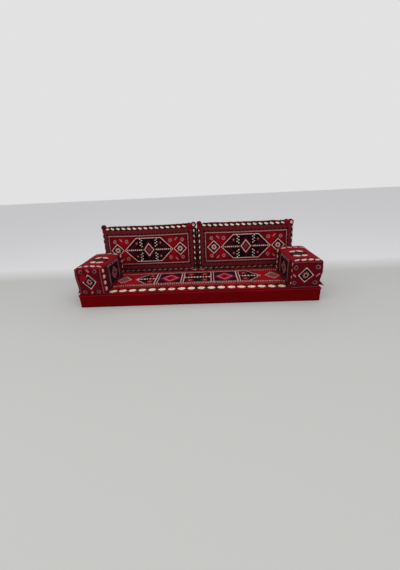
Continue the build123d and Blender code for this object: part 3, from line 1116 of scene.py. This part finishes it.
def makeSeat():
    halfX, halfY = seat["half"]
    zipHalf, edge, cell = seat["zipHalf"], seat["edge"], seat["cell"]
    zipLow, zipHigh = seat["zipZ"]
    xs = [-halfX] + spread((edge - halfX, -zipHalf, zipHalf, halfX - edge), cell) + [halfX]
    ys = [-halfY] + spread((edge - halfY, halfY - edge), cell) + [halfY]
    zs = [0, seat["baseZ"], 0.022, zipLow, zipHigh, 0.080, seat["seamZ"], seat["thick"]]
    shell, grid, sides, signs = gridBox("seatShell", (xs, ys, zs))
    layCloth(shell, grid, sides, signs, seatPanels, seatFlat)
    writePoints(shell, seatShape(grid))
    puff(shell, seat["cap"], seatHold)
    fillCushion(shell, "seat_foam_core", "seat", seat["fillInset"])
    ring = seatRing(grid, readPoints(shell))
    openZip(shell, grid, sides, signs, (1, 1), zipHalf, seat["zipZ"], 3)
    refine(shell)
    points = readPoints(shell)
    x, y, z = points.T.copy()
    wave = 1 + ripple(points * (1, 1, 2), 3, seat["wave"])
    loaded = (np.abs(x) > 0.71) | (y > 0.19)
    top = np.where(loaded, 0, smoothStep((z - 0.098) / 0.006))
    wall = smoothStep(z / 0.03) * smoothStep((0.098 - z) / 0.02)
    front = smoothStep((-y - 0.30) / 0.02) * wall
    ends = smoothStep((np.abs(x) - 0.93) / 0.015) * wall
    points[:, 2] -= top * seat["waveTop"] * wave
    points[:, 1] += front * seat["waveSide"] * wave
    points[:, 0] -= np.sign(x) * ends * seat["waveSide"] * wave
    writePoints(shell, points)
    covers = (
        ("_top_cover", "seatKilim", "_top_panel", "kilim"),
        ("_border_cover", "redVelvet", "_border", "plain_velvet"),
        ("_base_cover", "redVelvet", "_base_panel", "plain_velvet"),
    )
    cutCovers(shell, "seat", covers)
    makeCord("seat_piping_cord", ring, seat["pipe"])
    print("seat cushion made")


def seatRing(grid, points):  # the seam's points in order, a little outside the cloth
    halfX, halfY = seat["half"]
    onSeam = np.abs(grid[:, 2] - seat["seamZ"]) < 1e-6
    ring, boxed = points[onSeam], grid[onSeam]
    ring = ring[np.argsort(np.arctan2(boxed[:, 1] / halfY, boxed[:, 0] / halfX))]
    outward = ring * (1 / halfX, 1 / halfY, 0)
    most = np.abs(outward).max(1, keepdims=True)
    outward = np.sign(np.where(np.abs(outward) > 0.985 * most, outward, 0))
    outward /= np.maximum(np.linalg.norm(outward, axis=1, keepdims=True), 1e-9)
    rear = ring[:, 1] > halfY - 0.004
    return ring + outward * np.where(rear, 0.0002, 0.0010)[:, None]


def makeCord(name, ring, radius):
    curve = bpy.data.curves.new(name, "CURVE")
    curve.dimensions = "3D"
    curve.bevel_depth = radius
    curve.bevel_resolution = 3
    spline = curve.splines.new("NURBS")
    spline.points.add(len(ring) - 1)
    spline.points.foreach_set("co", np.c_[ring, np.ones(len(ring))].ravel())
    spline.use_cyclic_u = True
    spline.order_u = 3
    spline.resolution_u = 2
    piece = bpy.data.objects.new(name, curve)
    scene.collection.objects.link(piece)
    makeActive(piece)
    bpy.ops.object.convert(target="MESH")
    dress(bpy.context.object, "piping", "seat", ["seat_piping"])


makeSeat()

arm = {
    "frontDraw": 0.09,
    "size": (0.216, 0.458, 0.212),
    "baseZ": 0.1053,
    "crown": 0.009,
    "draw": 0.001,
    "endDraw": 0.001,
    "seam": 0.005,
    "baseSeam": 0.002,
    "round": 0.009,
    "roundShare": 0.30,
    "zipHalf": 0.190,
    "zipAbove": (0.0165, 0.0315),
    "cell": 0.0150,
    "cap": 0.005,
    "fill": 0.9,
    "fillInset": 0.006,
    "waves": (0.11, 0.035),
    "wave": 0.0010,
    "pucker": 0.0011,
    "sunk": 0.0012,
}
armPlaces = (
    {
        "name": "left_arm", "outward": -1, "outerX": -0.940, "frontY": -0.311, "seed": 11,
        "spill": 0.007, "lift": 0.003, "clothShift": 0.0, "frontShift": -0.003,
        # the left arm's front takes the kilim with a fold painted in light and shade
        "frontFinish": "foldedKilim", "flapTip": 0.0, "inward": 0.013, "belly": 0.006,
    },
    {
        "name": "right_arm", "outward": 1, "outerX": 0.930, "frontY": -0.320, "seed": 12,
        "spill": 0.009, "lift": 0.006, "clothShift": -0.022, "frontShift": -0.011,
        "frontFinish": "endKilim", "flapTip": 0.026, "inward": 0.006, "belly": 0.016,
    },
)


def armGrid():
    wide, long, tall = arm["size"]
    cell = arm["cell"]
    edgesX = [wide / 2, wide / 2 - 0.006]
    edgesY = [long / 2, long / 2 - arm["seam"], long / 2 - 0.016, long / 2 - 0.034]
    xs = [-x for x in edgesX] + spread((0.018 - wide / 2, wide / 2 - 0.018), cell)
    ys = [-y for y in edgesY] + spread((-arm["zipHalf"], arm["zipHalf"]), cell)
    zs = [0, arm["baseSeam"], *arm["zipAbove"]] + spread((0.046, tall - 0.018), cell)
    return xs + edgesX[::-1], ys + edgesY[::-1], zs + [tall - 0.006, tall]


def armShape(grid, place):
    wide, long, tall = arm["size"]
    outward = place["outward"]
    x, y, z = grid.T.copy()
    u, v = x / (wide / 2), y / (long / 2)
    lift = 0.45 + 0.55 * (1 - v**2)
    z = z + smoothStep(z / tall * 1.6 - 0.6) * lift * arm["crown"] * (1 - u**2)
    r = arm["round"]
    overX = np.maximum(np.abs(x) - (wide / 2 - r), 0) / r
    overY = np.maximum(np.abs(y) - (long / 2 - r), 0) / r
    overZ = np.maximum(grid[:, 2] - (tall - r), 0) / r
    rounded = r * arm["roundShare"]
    z -= rounded * np.maximum(overX, overY) * overZ
    x -= np.sign(x) * rounded * overX * np.maximum(overZ, overY)
    y -= np.sign(y) * rounded * overY * np.maximum(overZ, overX)
    inner = np.sign(x) == -outward
    x -= np.sign(x) * np.where(inner, arm["draw"], 0.0) * (1 - v**2) * np.abs(u) ** 3
    y -= np.sign(y) * arm["endDraw"] * (1 - u**2) * np.abs(v) ** 6
    high = grid[:, 2] / tall
    x += outward * place["spill"] * smoothStep(high * 1.6 - 0.2) * (0.5 + 0.5 * u * outward)
    z += place["lift"] * smoothStep(high * 2 - 1)
    innerShare = (1 - u * outward) / 2
    fuller = np.sin(pi * np.clip((high - 0.27) / 0.73, 0, 1)) * (1 - 0.5 * v**2)
    x += outward * place["belly"] * fuller * (1 - innerShare)
    x -= outward * place["inward"] * innerShare * smoothStep((v + 1) / 2) * smoothStep(high * 3)
    centreX = place["outerX"] - outward * wide / 2
    centreY = place["frontY"] + long / 2
    return np.stack([x + centreX, y + centreY, z + arm["baseZ"]], 1)


def armPanels(side, middle):
    half = arm["size"][1] / 2
    if side == (2, -1) or middle[2] < arm["baseSeam"]:
        return 3
    if middle[1] < arm["seam"] - half:
        return 1
    return 2 if middle[1] > half - arm["seam"] else 0


def armFlat(panel, side, points, place):
    outward = place["outward"]
    wide, long, tall = arm["size"]
    x, y, z = points.T
    axis, sign = side
    if panel == 0:
        girth = x * outward if axis == 2 else sign * outward * (wide / 2 + tall - z)
        return np.stack([girth, y - place["clothShift"]], 1)
    if panel == 3:
        return foldOut(points, side, z)
    depth = long / 2 - np.abs(y)
    p = sign * (wide / 2 + depth) if axis == 0 else x
    q = (tall / 2 + depth) if axis == 2 else z - tall / 2
    inner = np.maximum(1 - (p / (wide / 2)) ** 4, 0)
    p = -p if panel == 2 else p + (arm["frontDraw"] * p - place["frontShift"]) * inner
    return np.stack([q, -p] if outward < 0 else [p, q], 1)


def armHold(place):
    def hold(before, after):
        after = keepUnderside(before, after, arm["baseZ"])
        outward = place["outward"]
        high = smoothStep((before[:, 2] - arm["baseZ"] - 0.07) / 0.03)
        grown = (after[:, 0] - before[:, 0]) * outward
        outer = (before[:, 0] - place["outerX"]) * outward > -0.002
        after[outer, 0] = (before[:, 0] + outward * np.clip(grown, 0, 0.005) * high)[outer]
        return after

    return hold


def makeArm(place):
    name, outward = place["name"], place["outward"]
    shell, grid, sides, signs = gridBox(name + "Shell", armGrid())
    layCloth(
        shell, grid, sides, signs, armPanels,
        lambda panel, side, points: armFlat(panel, side, points, place),
    )
    writePoints(shell, armShape(grid, place))
    puff(shell, arm["cap"], armHold(place))
    fillCushion(shell, name + "_foam_core", name, arm["fillInset"])
    openZip(shell, grid, sides, signs, (0, outward), arm["zipHalf"], arm["zipAbove"], 4)
    refine(shell)
    points, normals = readPoints(shell), readNormals(shell)
    wave, fine = twoWaves(points, place["seed"], arm["waves"])
    height = points[:, 2] - arm["baseZ"]
    quiet = smoothStep(height / 0.03)
    outer = (points[:, 0] - place["outerX"]) * outward > -0.004
    quiet *= np.where(outer, smoothStep((height - 0.06) / 0.03), 1)
    frontGap = np.abs(points[:, 1] - place["frontY"])
    rearGap = np.abs(points[:, 1] - place["frontY"] - arm["size"][1])
    nearSeam = np.exp(-np.minimum(frontGap, rearGap) / 0.02)
    shift = (arm["wave"] * wave + arm["pucker"] * fine * nearSeam - arm["sunk"]) * quiet
    points += normals * shift[:, None]
    points[:, 2] = np.maximum(points[:, 2], arm["baseZ"])
    writePoints(shell, points)
    covers = (
        ("_wrap_cover", "wrapKilim", "_wrap", "kilim"),
        ("_front_cover", place["frontFinish"], "_front_panel", "kilim"),
        ("_rear_cover", "endKilim", "_rear_panel", "kilim"),
        ("_base_cover", "redVelvet", "_base_panel", "plain_velvet"),
    )
    cutCovers(shell, name, covers)
    makeFlap(place)
    print(name, "cushion made")


flap = {
    "long": 0.424,
    "girth": 0.060,
    "seamUp": 0.058,
    "foldUp": 0.050,
    "flare": 0.018,
    "hemUp": 0.003,
    "thick": 0.0016,
    "wave": 0.0022,
    "tipFrom": 0.76,
    "pullAt": 0.178,
    "pullRoom": 0.0070,
    "pullWide": 0.025,
}


def makeFlap(place):
    name = place["name"]
    primitive = bpy.ops.mesh.primitive_grid_add
    piece = added(primitive, name + "_flap_cloth", x_subdivisions=70, y_subdivisions=14, size=2)
    cube = readPoints(piece)
    t = (1 - cube[:, 1]) / 2
    along = cube[:, 0] * flap["long"] / 2
    up = flap["seamUp"] + (flap["hemUp"] - flap["seamUp"]) * t
    fall = np.clip((flap["foldUp"] - up) / (flap["foldUp"] - flap["hemUp"]), 0, 1)
    out = flap["flare"] * fall**1.25
    random = np.random.default_rng(place["seed"])
    phase = random.uniform(0, 6, 3)
    ruffle = np.sin(along * 52 + phase[0]) + 0.6 * np.sin(along * 97 + phase[1])
    tipFrom = flap["tipFrom"]
    frontward = smoothStep((-along / (flap["long"] / 2) - tipFrom) / (1 - tipFrom))
    out = out * (1 - 0.12 * fall) + flap["wave"] * fall * (ruffle - 0.8)
    out = np.clip(out, 0.0004, flap["flare"] + 0.0022) + place["flapTip"] * frontward * t**0.8
    up = up + 0.3 * place["flapTip"] * frontward * fall
    pullGap = np.abs(along) - flap["pullAt"]  # the pull swings out at either end of its zip
    out += flap["pullRoom"] * np.exp(-((pullGap / flap["pullWide"]) ** 2)) * fall**1.5
    centreY = place["frontY"] + arm["size"][1] / 2
    x = place["outerX"] + place["outward"] * (out + 0.0002)
    writePoints(piece, np.stack([x, along + centreY, up + arm["baseZ"]], 1))
    flat = np.stack([along, (0.5 - t) * flap["girth"]], 1)
    layMap(piece.data, flat[cornerPoints(piece.data)])
    if place["outward"] < 0:
        editAll(piece, bpy.ops.mesh.flip_normals)
    thicken(piece, flap["thick"], 1)
    dress(piece, "tieVelvet", name, [name + "_zip_flap"])
    name + "_wrap"


for place in armPlaces:
    makeArm(place)

back = {
    "half": 0.4465,
    "tall": 0.433,
    "rise": 0.006,
    "baseZ": 0.1058,
    "footY": 0.2655,
    "lean": 4.0,
    "foot": 0.050,
    "belly": 0.054,
    "crest": 0.022,
    "root": 0.030,
    "bellyUp": 0.150,
    "draw": -0.0016,
    "round": 0.012,
    "sideRound": 0.005,
    "reach": 0.4485,
    "endFrom": 0.400,
    "endTop": 0.408,
    "row": (0.0055, 84),
    "wallY": 0.325,
    "zipHalf": 0.220,
    "zipUp": (0.1429, 0.1571),
    "edge": 0.010,
    "cell": 0.0140,
    "cap": 0.006,
    "fill": 0.75,
    "fillInset": (0.006, 0.007),
    "gather": 38.0,
    "gatherLow": 27.0,
    "gatherWide": 0.16,
    "dimple": (0.45, 0.060),
    "waves": (0.13, 0.040),
    "wave": 0.0013,
    "pucker": 0.0013,
    "sunk": 0.001,
    "pleats": 15,
    "pleatDeep": 0.0034,
}
standingEar = {"turn": 80, "tilt": 0, "spin": 0.3}
lyingEar = {
    "neck": (0.3685, 0.402), "turn": 17, "gathered": 1, "tie": (0.034, 0.0335),
    "knobAt": 0.0550, "spin": 0,
}
backPlaces = (
    {
        "name": "left_back", "x": -0.461, "seed": 21, "clothShift": -0.0085, "sag": 0,
        "ears": (
            {
                **standingEar, "neck": (0.4180, 0.3700), "gathered": 0.5,
                "tie": (0.034, 0.0270), "knob": 0.0265, "knobAt": 0.0560,
            },
            {**lyingEar, "tilt": 1, "knob": 0.0280},
        ),
    },
    {
        "name": "right_back", "x": 0.436, "seed": 22, "clothShift": 0.007, "sag": 0.005,
        "ears": (
            {
                **standingEar, "neck": (0.4130, 0.3740), "gathered": 0.6,
                "tie": (0.034, 0.0265), "knob": 0.0255, "knobAt": 0.0530,
            },
            {**lyingEar, "tilt": -11, "knob": 0.0300},
        ),
    },
)
lean = radians(back["lean"])


def earValue(place, x, name):  # each point takes the value of its own side's ear
    return np.array([one[name] for one in place["ears"]], float)[(np.asarray(x) > 0).astype(int)]


def arcThrough(first, middle, last):  # centre and radius of the circle through three
    (ax, ay), (bx, by), (cx, cy) = first, middle, last
    d = 2 * (ax * (by - cy) + bx * (cy - ay) + cx * (ay - by))
    aa, bb, cc = ax**2 + ay**2, bx**2 + by**2, cx**2 + cy**2
    ux = (aa * (by - cy) + bb * (cy - ay) + cc * (ay - by)) / d
    uy = (aa * (cx - bx) + bb * (ax - cx) + cc * (bx - ax)) / d
    return ux, uy, sqrt((ax - ux) ** 2 + (ay - uy) ** 2)


def fromNeck(x, h, place):  # how far out and up of its side's neck each point is
    neckX, neckUp = earValue(place, x, "neck").T
    return neckX, neckUp, np.abs(x) - neckX, h - neckUp


def gatherCorners(x, h, place):  # draw the top corners in to the ears' necks
    neckX, neckUp, dx, dh = fromNeck(x, h, place)
    turn = np.radians(earValue(place, x, "turn"))
    along = dx * np.cos(turn) + dh * np.sin(turn)
    across = -dx * np.sin(turn) + dh * np.cos(turn)
    angle = np.degrees(np.arctan2(across, along))
    spreadTo = np.where(angle < 0, back["gatherLow"], back["gather"])
    keep = 0.10 + 0.90 * smoothStep(np.abs(angle) / spreadTo)
    near = smoothStep((back["gatherWide"] - np.hypot(dx, dh)) / 0.03)
    keep = 1 - (1 - keep) * near * earValue(place, x, "gathered")
    return np.sign(x) * (neckX + dx * keep), neckUp + dh * keep, np.hypot(dx, dh) * keep


def backShape(grid, place):
    half, tall = back["half"], back["tall"]
    x, v, h = grid.T.copy()
    u = x / half
    cx, cy, radius = arcThrough(
        (back["foot"], -back["root"]), (back["belly"], back["bellyUp"]), (back["crest"], tall)
    )
    girth = cx + np.sqrt(np.maximum(radius**2 - (h - cy) ** 2, 0))
    swell = 0.3 + 0.7 * np.sqrt(np.clip(1 - np.abs(u) ** 6, 0, 1))
    thick = girth * swell
    drop = back["round"] * (1 - np.sqrt(np.clip(1 - (v * 0.98) ** 2, 0, 1)))
    sag = place["sag"] * smoothStep(u)
    h = h * (1 + (back["rise"] * u**2 - sag) / tall) * (1 - drop / tall)
    x = x - np.sign(x) * drop * back["sideRound"] / back["round"] * np.abs(u) ** 14
    x = x * (1 - back["draw"] / half * (1 - (2 * grid[:, 2] / tall - 1) ** 2) * np.abs(u) ** 5)
    gathered = earValue(place, x, "gathered")
    x, h, reach = gatherCorners(x, h, place)
    least, wide = back["dimple"]
    off = v * thick * (1 - (1 - least) * (1 - smoothStep(reach / wide)) * gathered)
    y = back["footY"] + h * sin(lean) + off * cos(lean)
    z = back["baseZ"] + h * cos(lean) - off * sin(lean) * np.clip(h / tall, 0, 1)
    zipLow, zipHigh = back["zipUp"]
    byZip = (v > 0.9) & (np.abs(grid[:, 0]) < back["zipHalf"] + back["cell"])
    byZip &= (grid[:, 2] > zipLow - 0.001) & (grid[:, 2] < zipHigh + 0.001)
    z = np.where(byZip, back["baseZ"] + grid[:, 2], z)  # the zip's slot stays level
    return np.stack([x + place["x"], np.minimum(y, back["wallY"]), z], 1)


def backPanels(side, middle):
    if side[0] == 1:
        return 0 if side[1] < 0 else 1
    return 0 if middle[1] < 0 else 1


def backFlat(panel, side, points, place):
    x, v, h = points.T
    axis, sign = side
    strip = (1 - np.abs(v)) * back["crest"]
    p = sign * (back["half"] + strip) if axis == 0 else x
    q = h - back["tall"] / 2 + (sign * strip if axis == 2 else 0)
    return np.stack([-p if panel == 1 else p - place["clothShift"], q], 1)


def backHold(before, after):
    after = keepUnderside(before, after, back["baseZ"])
    flatRear = before[:, 1] > back["wallY"] - 0.0004
    after[flatRear, 1] = before[flatRear, 1]
    after[:, 1] = np.minimum(after[:, 1], back["wallY"])
    return after


def fullEnds(points, place):  # let each end stand out to its full reach at every height
    x = points[:, 0] - place["x"]
    h = (points[:, 2] - back["baseZ"]) / cos(lean)
    far, full = back["endFrom"], back["reach"]
    rowTall, rowCount = back["row"]
    rows = np.clip((h / rowTall).astype(int), 0, rowCount - 1)
    for side in (-1, 1):
        out = x * side
        reached = np.full(rowCount, full)
        for row in np.unique(rows):
            reached[row] = out[rows == row].max()
        reached = np.interp(h, (np.arange(rowCount) + 0.5) * rowTall, reached)
        share = smoothStep((back["endTop"] - h) / 0.03)
        grown = far + (out - far) * (full - far) / np.maximum(reached - far, 0.01)
        x = np.where(out > far, side * (out + (grown - out) * share), x)
    points = points.copy()
    points[:, 0] = place["x"] + np.clip(x, -full, full)
    return points


def makeBack(place):
    name = place["name"]
    half, tall, edge, cell = back["half"], back["tall"], back["edge"], back["cell"]
    zipHalf = back["zipHalf"]
    xs = [-half] + spread((edge - half, -zipHalf, zipHalf, half - edge), cell) + [half]
    hs = [0] + spread((0.012, *back["zipUp"], tall - edge), cell) + [tall]
    shell, grid, sides, signs = gridBox(name + "Shell", (xs, [-1, -0.62, 0, 0.62, 1], hs))
    layCloth(
        shell, grid, sides, signs, backPanels,
        lambda panel, side, points: backFlat(panel, side, points, place),
    )
    writePoints(shell, backShape(grid, place))
    puff(shell, back["cap"], backHold)
    points = readPoints(shell)
    points[:, 0] = place["x"] + np.clip(points[:, 0] - place["x"], -back["reach"], back["reach"])
    writePoints(shell, points)
    neckGap = np.hypot(*fromNeck(grid[:, 0], grid[:, 2], place)[2:])
    least, more = back["fillInset"]
    inset = least + more * smoothStep((back["gatherWide"] - neckGap) / 0.05)
    fillCushion(shell, name + "_fill_core", name, inset)
    openZip(shell, grid, sides, signs, (1, 1), zipHalf, back["zipUp"], 2)
    refine(shell)
    points, normals = readPoints(shell), readNormals(shell)
    x = points[:, 0] - place["x"]
    h = (points[:, 2] - back["baseZ"]) / cos(lean)
    _, _, dx, dh = fromNeck(x, h, place)
    angle, reach = np.arctan2(dh, dx), np.hypot(dx, dh)
    pleat = np.cos(angle * back["pleats"] + np.sign(x) * 0.7) * smoothStep((0.115 - reach) / 0.085)
    pleat *= smoothStep((reach - 0.006) / 0.02) * earValue(place, x, "gathered")
    wave, fine = twoWaves(points, place["seed"], back["waves"])
    rim = np.minimum(half - np.abs(x), np.minimum(tall - h, h + 0.02))
    nearRim = np.exp(-np.maximum(rim, 0) / 0.018)
    rear = points[:, 1] > back["wallY"] - 0.003
    quiet = smoothStep(h / 0.03) * np.where(rear, 0, 1)
    shift = back["wave"] * wave + back["pucker"] * fine * nearRim + back["pleatDeep"] * pleat
    points += normals * ((shift - back["sunk"]) * quiet)[:, None]
    points[:, 2] = np.maximum(points[:, 2], back["baseZ"])
    points[:, 1] = np.minimum(points[:, 1], back["wallY"])
    writePoints(shell, fullEnds(points, place))
    covers = (
        ("_front_cover", "backKilim", "_front_panel", "kilim"),
        ("_rear_cover", "redVelvet", "_rear_panel", "plain_velvet"),
    )
    cutCovers(shell, name, covers)
    makeEars(place)
    print(name, "cushion made")


ear = {
    "bore": 0.0150,
    "neck": 0.0135,
    "tieFolds": 13,
    "tieDeep": 0.0026,
    "knobFolds": 9,
    "knobShare": 0.72,
    "knobTurn": 2.42,
    "knobDeep": 0.085,
}


def aroundX(operator, name, **options):  # a round primitive turned to stand on the X axis
    piece = added(operator, name, rotation=(0, pi / 2, 0), **options)
    bpy.ops.object.transform_apply(location=False, rotation=True, scale=True)
    points = readPoints(piece)
    return piece, points, np.arctan2(points[:, 2], points[:, 1])


def standEar(piece, along, reach, turned, place, side):  # from the X axis to the ear's own
    own = place["ears"][side > 0]
    points = np.stack([along, reach * np.cos(turned), reach * np.sin(turned)], 1)
    turn = radians(own["turn"] + own["tilt"])
    up = Vector((0, sin(lean), cos(lean)))
    rearward = Vector((0, cos(lean), -sin(lean)))
    neckX, neckUp = own["neck"]
    origin = Vector((place["x"] + side * neckX, back["footY"], back["baseZ"])) + up * neckUp
    axis = Vector((side * cos(turn), 0, 0)) + up * sin(turn)
    axes = np.array((axis, rearward, axis.cross(rearward)))
    writePoints(piece, sum(points[:, i : i + 1] * axes[i] for i in range(3)) + np.array(origin))


def makeTie(place, side):
    piece, points, turn = aroundX(
        bpy.ops.mesh.primitive_torus_add, "tie", major_segments=104, minor_segments=28,
        major_radius=1, minor_radius=0.5,
    )
    radial = np.hypot(points[:, 1], points[:, 2]) - 1
    around = np.arctan2(points[:, 0], radial)
    random = np.random.default_rng(place["seed"] + (40 if side > 0 else 60))
    phase = random.uniform(0, 6, 4)
    folds = ear["tieFolds"]
    wobble = np.cos(turn * folds + phase[0] + 0.5 * np.sin(around + phase[1]))
    wobble = wobble + 0.5 * np.cos(turn * (folds * 2 + 3) + phase[2] - around * 1.2)
    outer = (1 + np.cos(around)) / 2
    tieLong, tieHalf = place["ears"][side > 0]["tie"]
    middle = (tieHalf + ear["bore"]) / 2
    halfThick = (tieHalf - ear["bore"]) / 2
    r = middle + np.cos(around) * halfThick - outer * ear["tieDeep"] * (1 + wobble) / 1.5
    r = np.maximum(r, ear["bore"] + 0.0002)
    puffed = tieLong / 2 * (1 + 0.08 * np.cos(turn * 5 + phase[3]))
    along = np.sin(around) * puffed + tieLong / 2 + 0.0004
    along += 0.0016 * np.sin(turn * folds + phase[2]) * outer * np.cos(around)
    standEar(piece, along, r, turn, place, side)
    return piece


def makeKnob(place, side):
    piece, points, turn = aroundX(
        bpy.ops.mesh.primitive_uv_sphere_add, "knob", segments=96, ring_count=40, radius=1
    )
    share = np.arccos(np.clip(points[:, 0], -1, 1)) / pi  # 0 at the tip, 1 at the neck's root
    own = place["ears"][side > 0]
    start, knobAt, knob = own["tie"][0] + 0.0004, own["knobAt"], own["knob"]
    knobShare, neck = ear["knobShare"], ear["neck"]
    bent = np.clip(share / knobShare, 0, 1) * ear["knobTurn"]
    stemAlong = np.interp(share, (knobShare, 0.80, 1.0), (start + 0.002, start - 0.007, 0.0))
    stemReach = np.interp(share, (knobShare, 0.80, 0.985, 1.0), (0.0150, neck, neck, 0.0))
    along = np.where(share < knobShare, knobAt + knob * np.cos(bent), stemAlong)
    reach = np.where(share < knobShare, knob * np.sin(bent), stemReach)
    random = np.random.default_rng(place["seed"] + (80 if side > 0 else 90))
    phase = random.uniform(0, 6, 3)
    folds = ear["knobFolds"]
    fold = np.cos(turn * folds + phase[0]) + 0.4 * np.cos(turn * (2 * folds + 1) + phase[1])
    shown = smoothStep(share / 0.10) * smoothStep((0.80 - share) / 0.12)
    reach = reach * (1 - ear["knobDeep"] * shown * (1 - fold / 1.4))
    along = along - 0.0045 * smoothStep((0.12 - share) / 0.12)
    mesh = piece.data
    flat = np.empty((len(mesh.loops), 2))
    for face in mesh.polygons:
        corners = [mesh.loops[i].vertex_index for i in face.loop_indices]
        turns = turn[corners] / (2 * pi) + own["spin"]
        pole = (share[corners] < 1e-4) | (share[corners] > 1 - 1e-4)
        gap = turns - turns[~pole][0]
        spun = np.where(gap > 0.5, turns - 1, np.where(gap < -0.5, turns + 1, turns))
        spun[pole] = spun[~pole].mean()
        flat[list(face.loop_indices)] = np.stack([spun, share[corners]], 1)
    layMap(mesh, flat)
    standEar(piece, along, reach, turn, place, side)
    return piece


def joinPair(pieces, name, material, body, node):
    makeActive(pieces[0])
    pieces[1].select_set(True)
    bpy.ops.object.join()
    piece = bpy.context.object
    piece.name = name
    editAll(piece, bpy.ops.mesh.normals_make_consistent, inside=False)
    dress(piece, material, body, [node])


def makeEars(place):
    name = place["name"]
    ties = [makeTie(place, side) for side in (-1, 1)]
    joinPair(ties, name + "_tie_bands", "tieVelvet", name, name + "_corner_ties")
    knobs = [makeKnob(place, side) for side in (-1, 1)]
    joinPair(knobs, name + "_ear_knobs", "earKilim", name, name + "_corner_ears")


for place in backPlaces:
    makeBack(place)

zipFinishes = {
    "_zip_tape": "zipTape",
    "_zip_chain": "zipCoil",
    "_zip_slider": "zipMetal",
    "_zip_pull": "zipMetal",
}
for node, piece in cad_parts.items():
    for ending, finish in zipFinishes.items():
        if node.endswith(ending):
            piece.data.materials.clear()
            piece.data.materials.append(materials[finish])

floor = added(bpy.ops.mesh.primitive_plane_add, "studioFloor", size=2 * studio["floorHalf"])
floor.data.materials.append(materials["floor"])
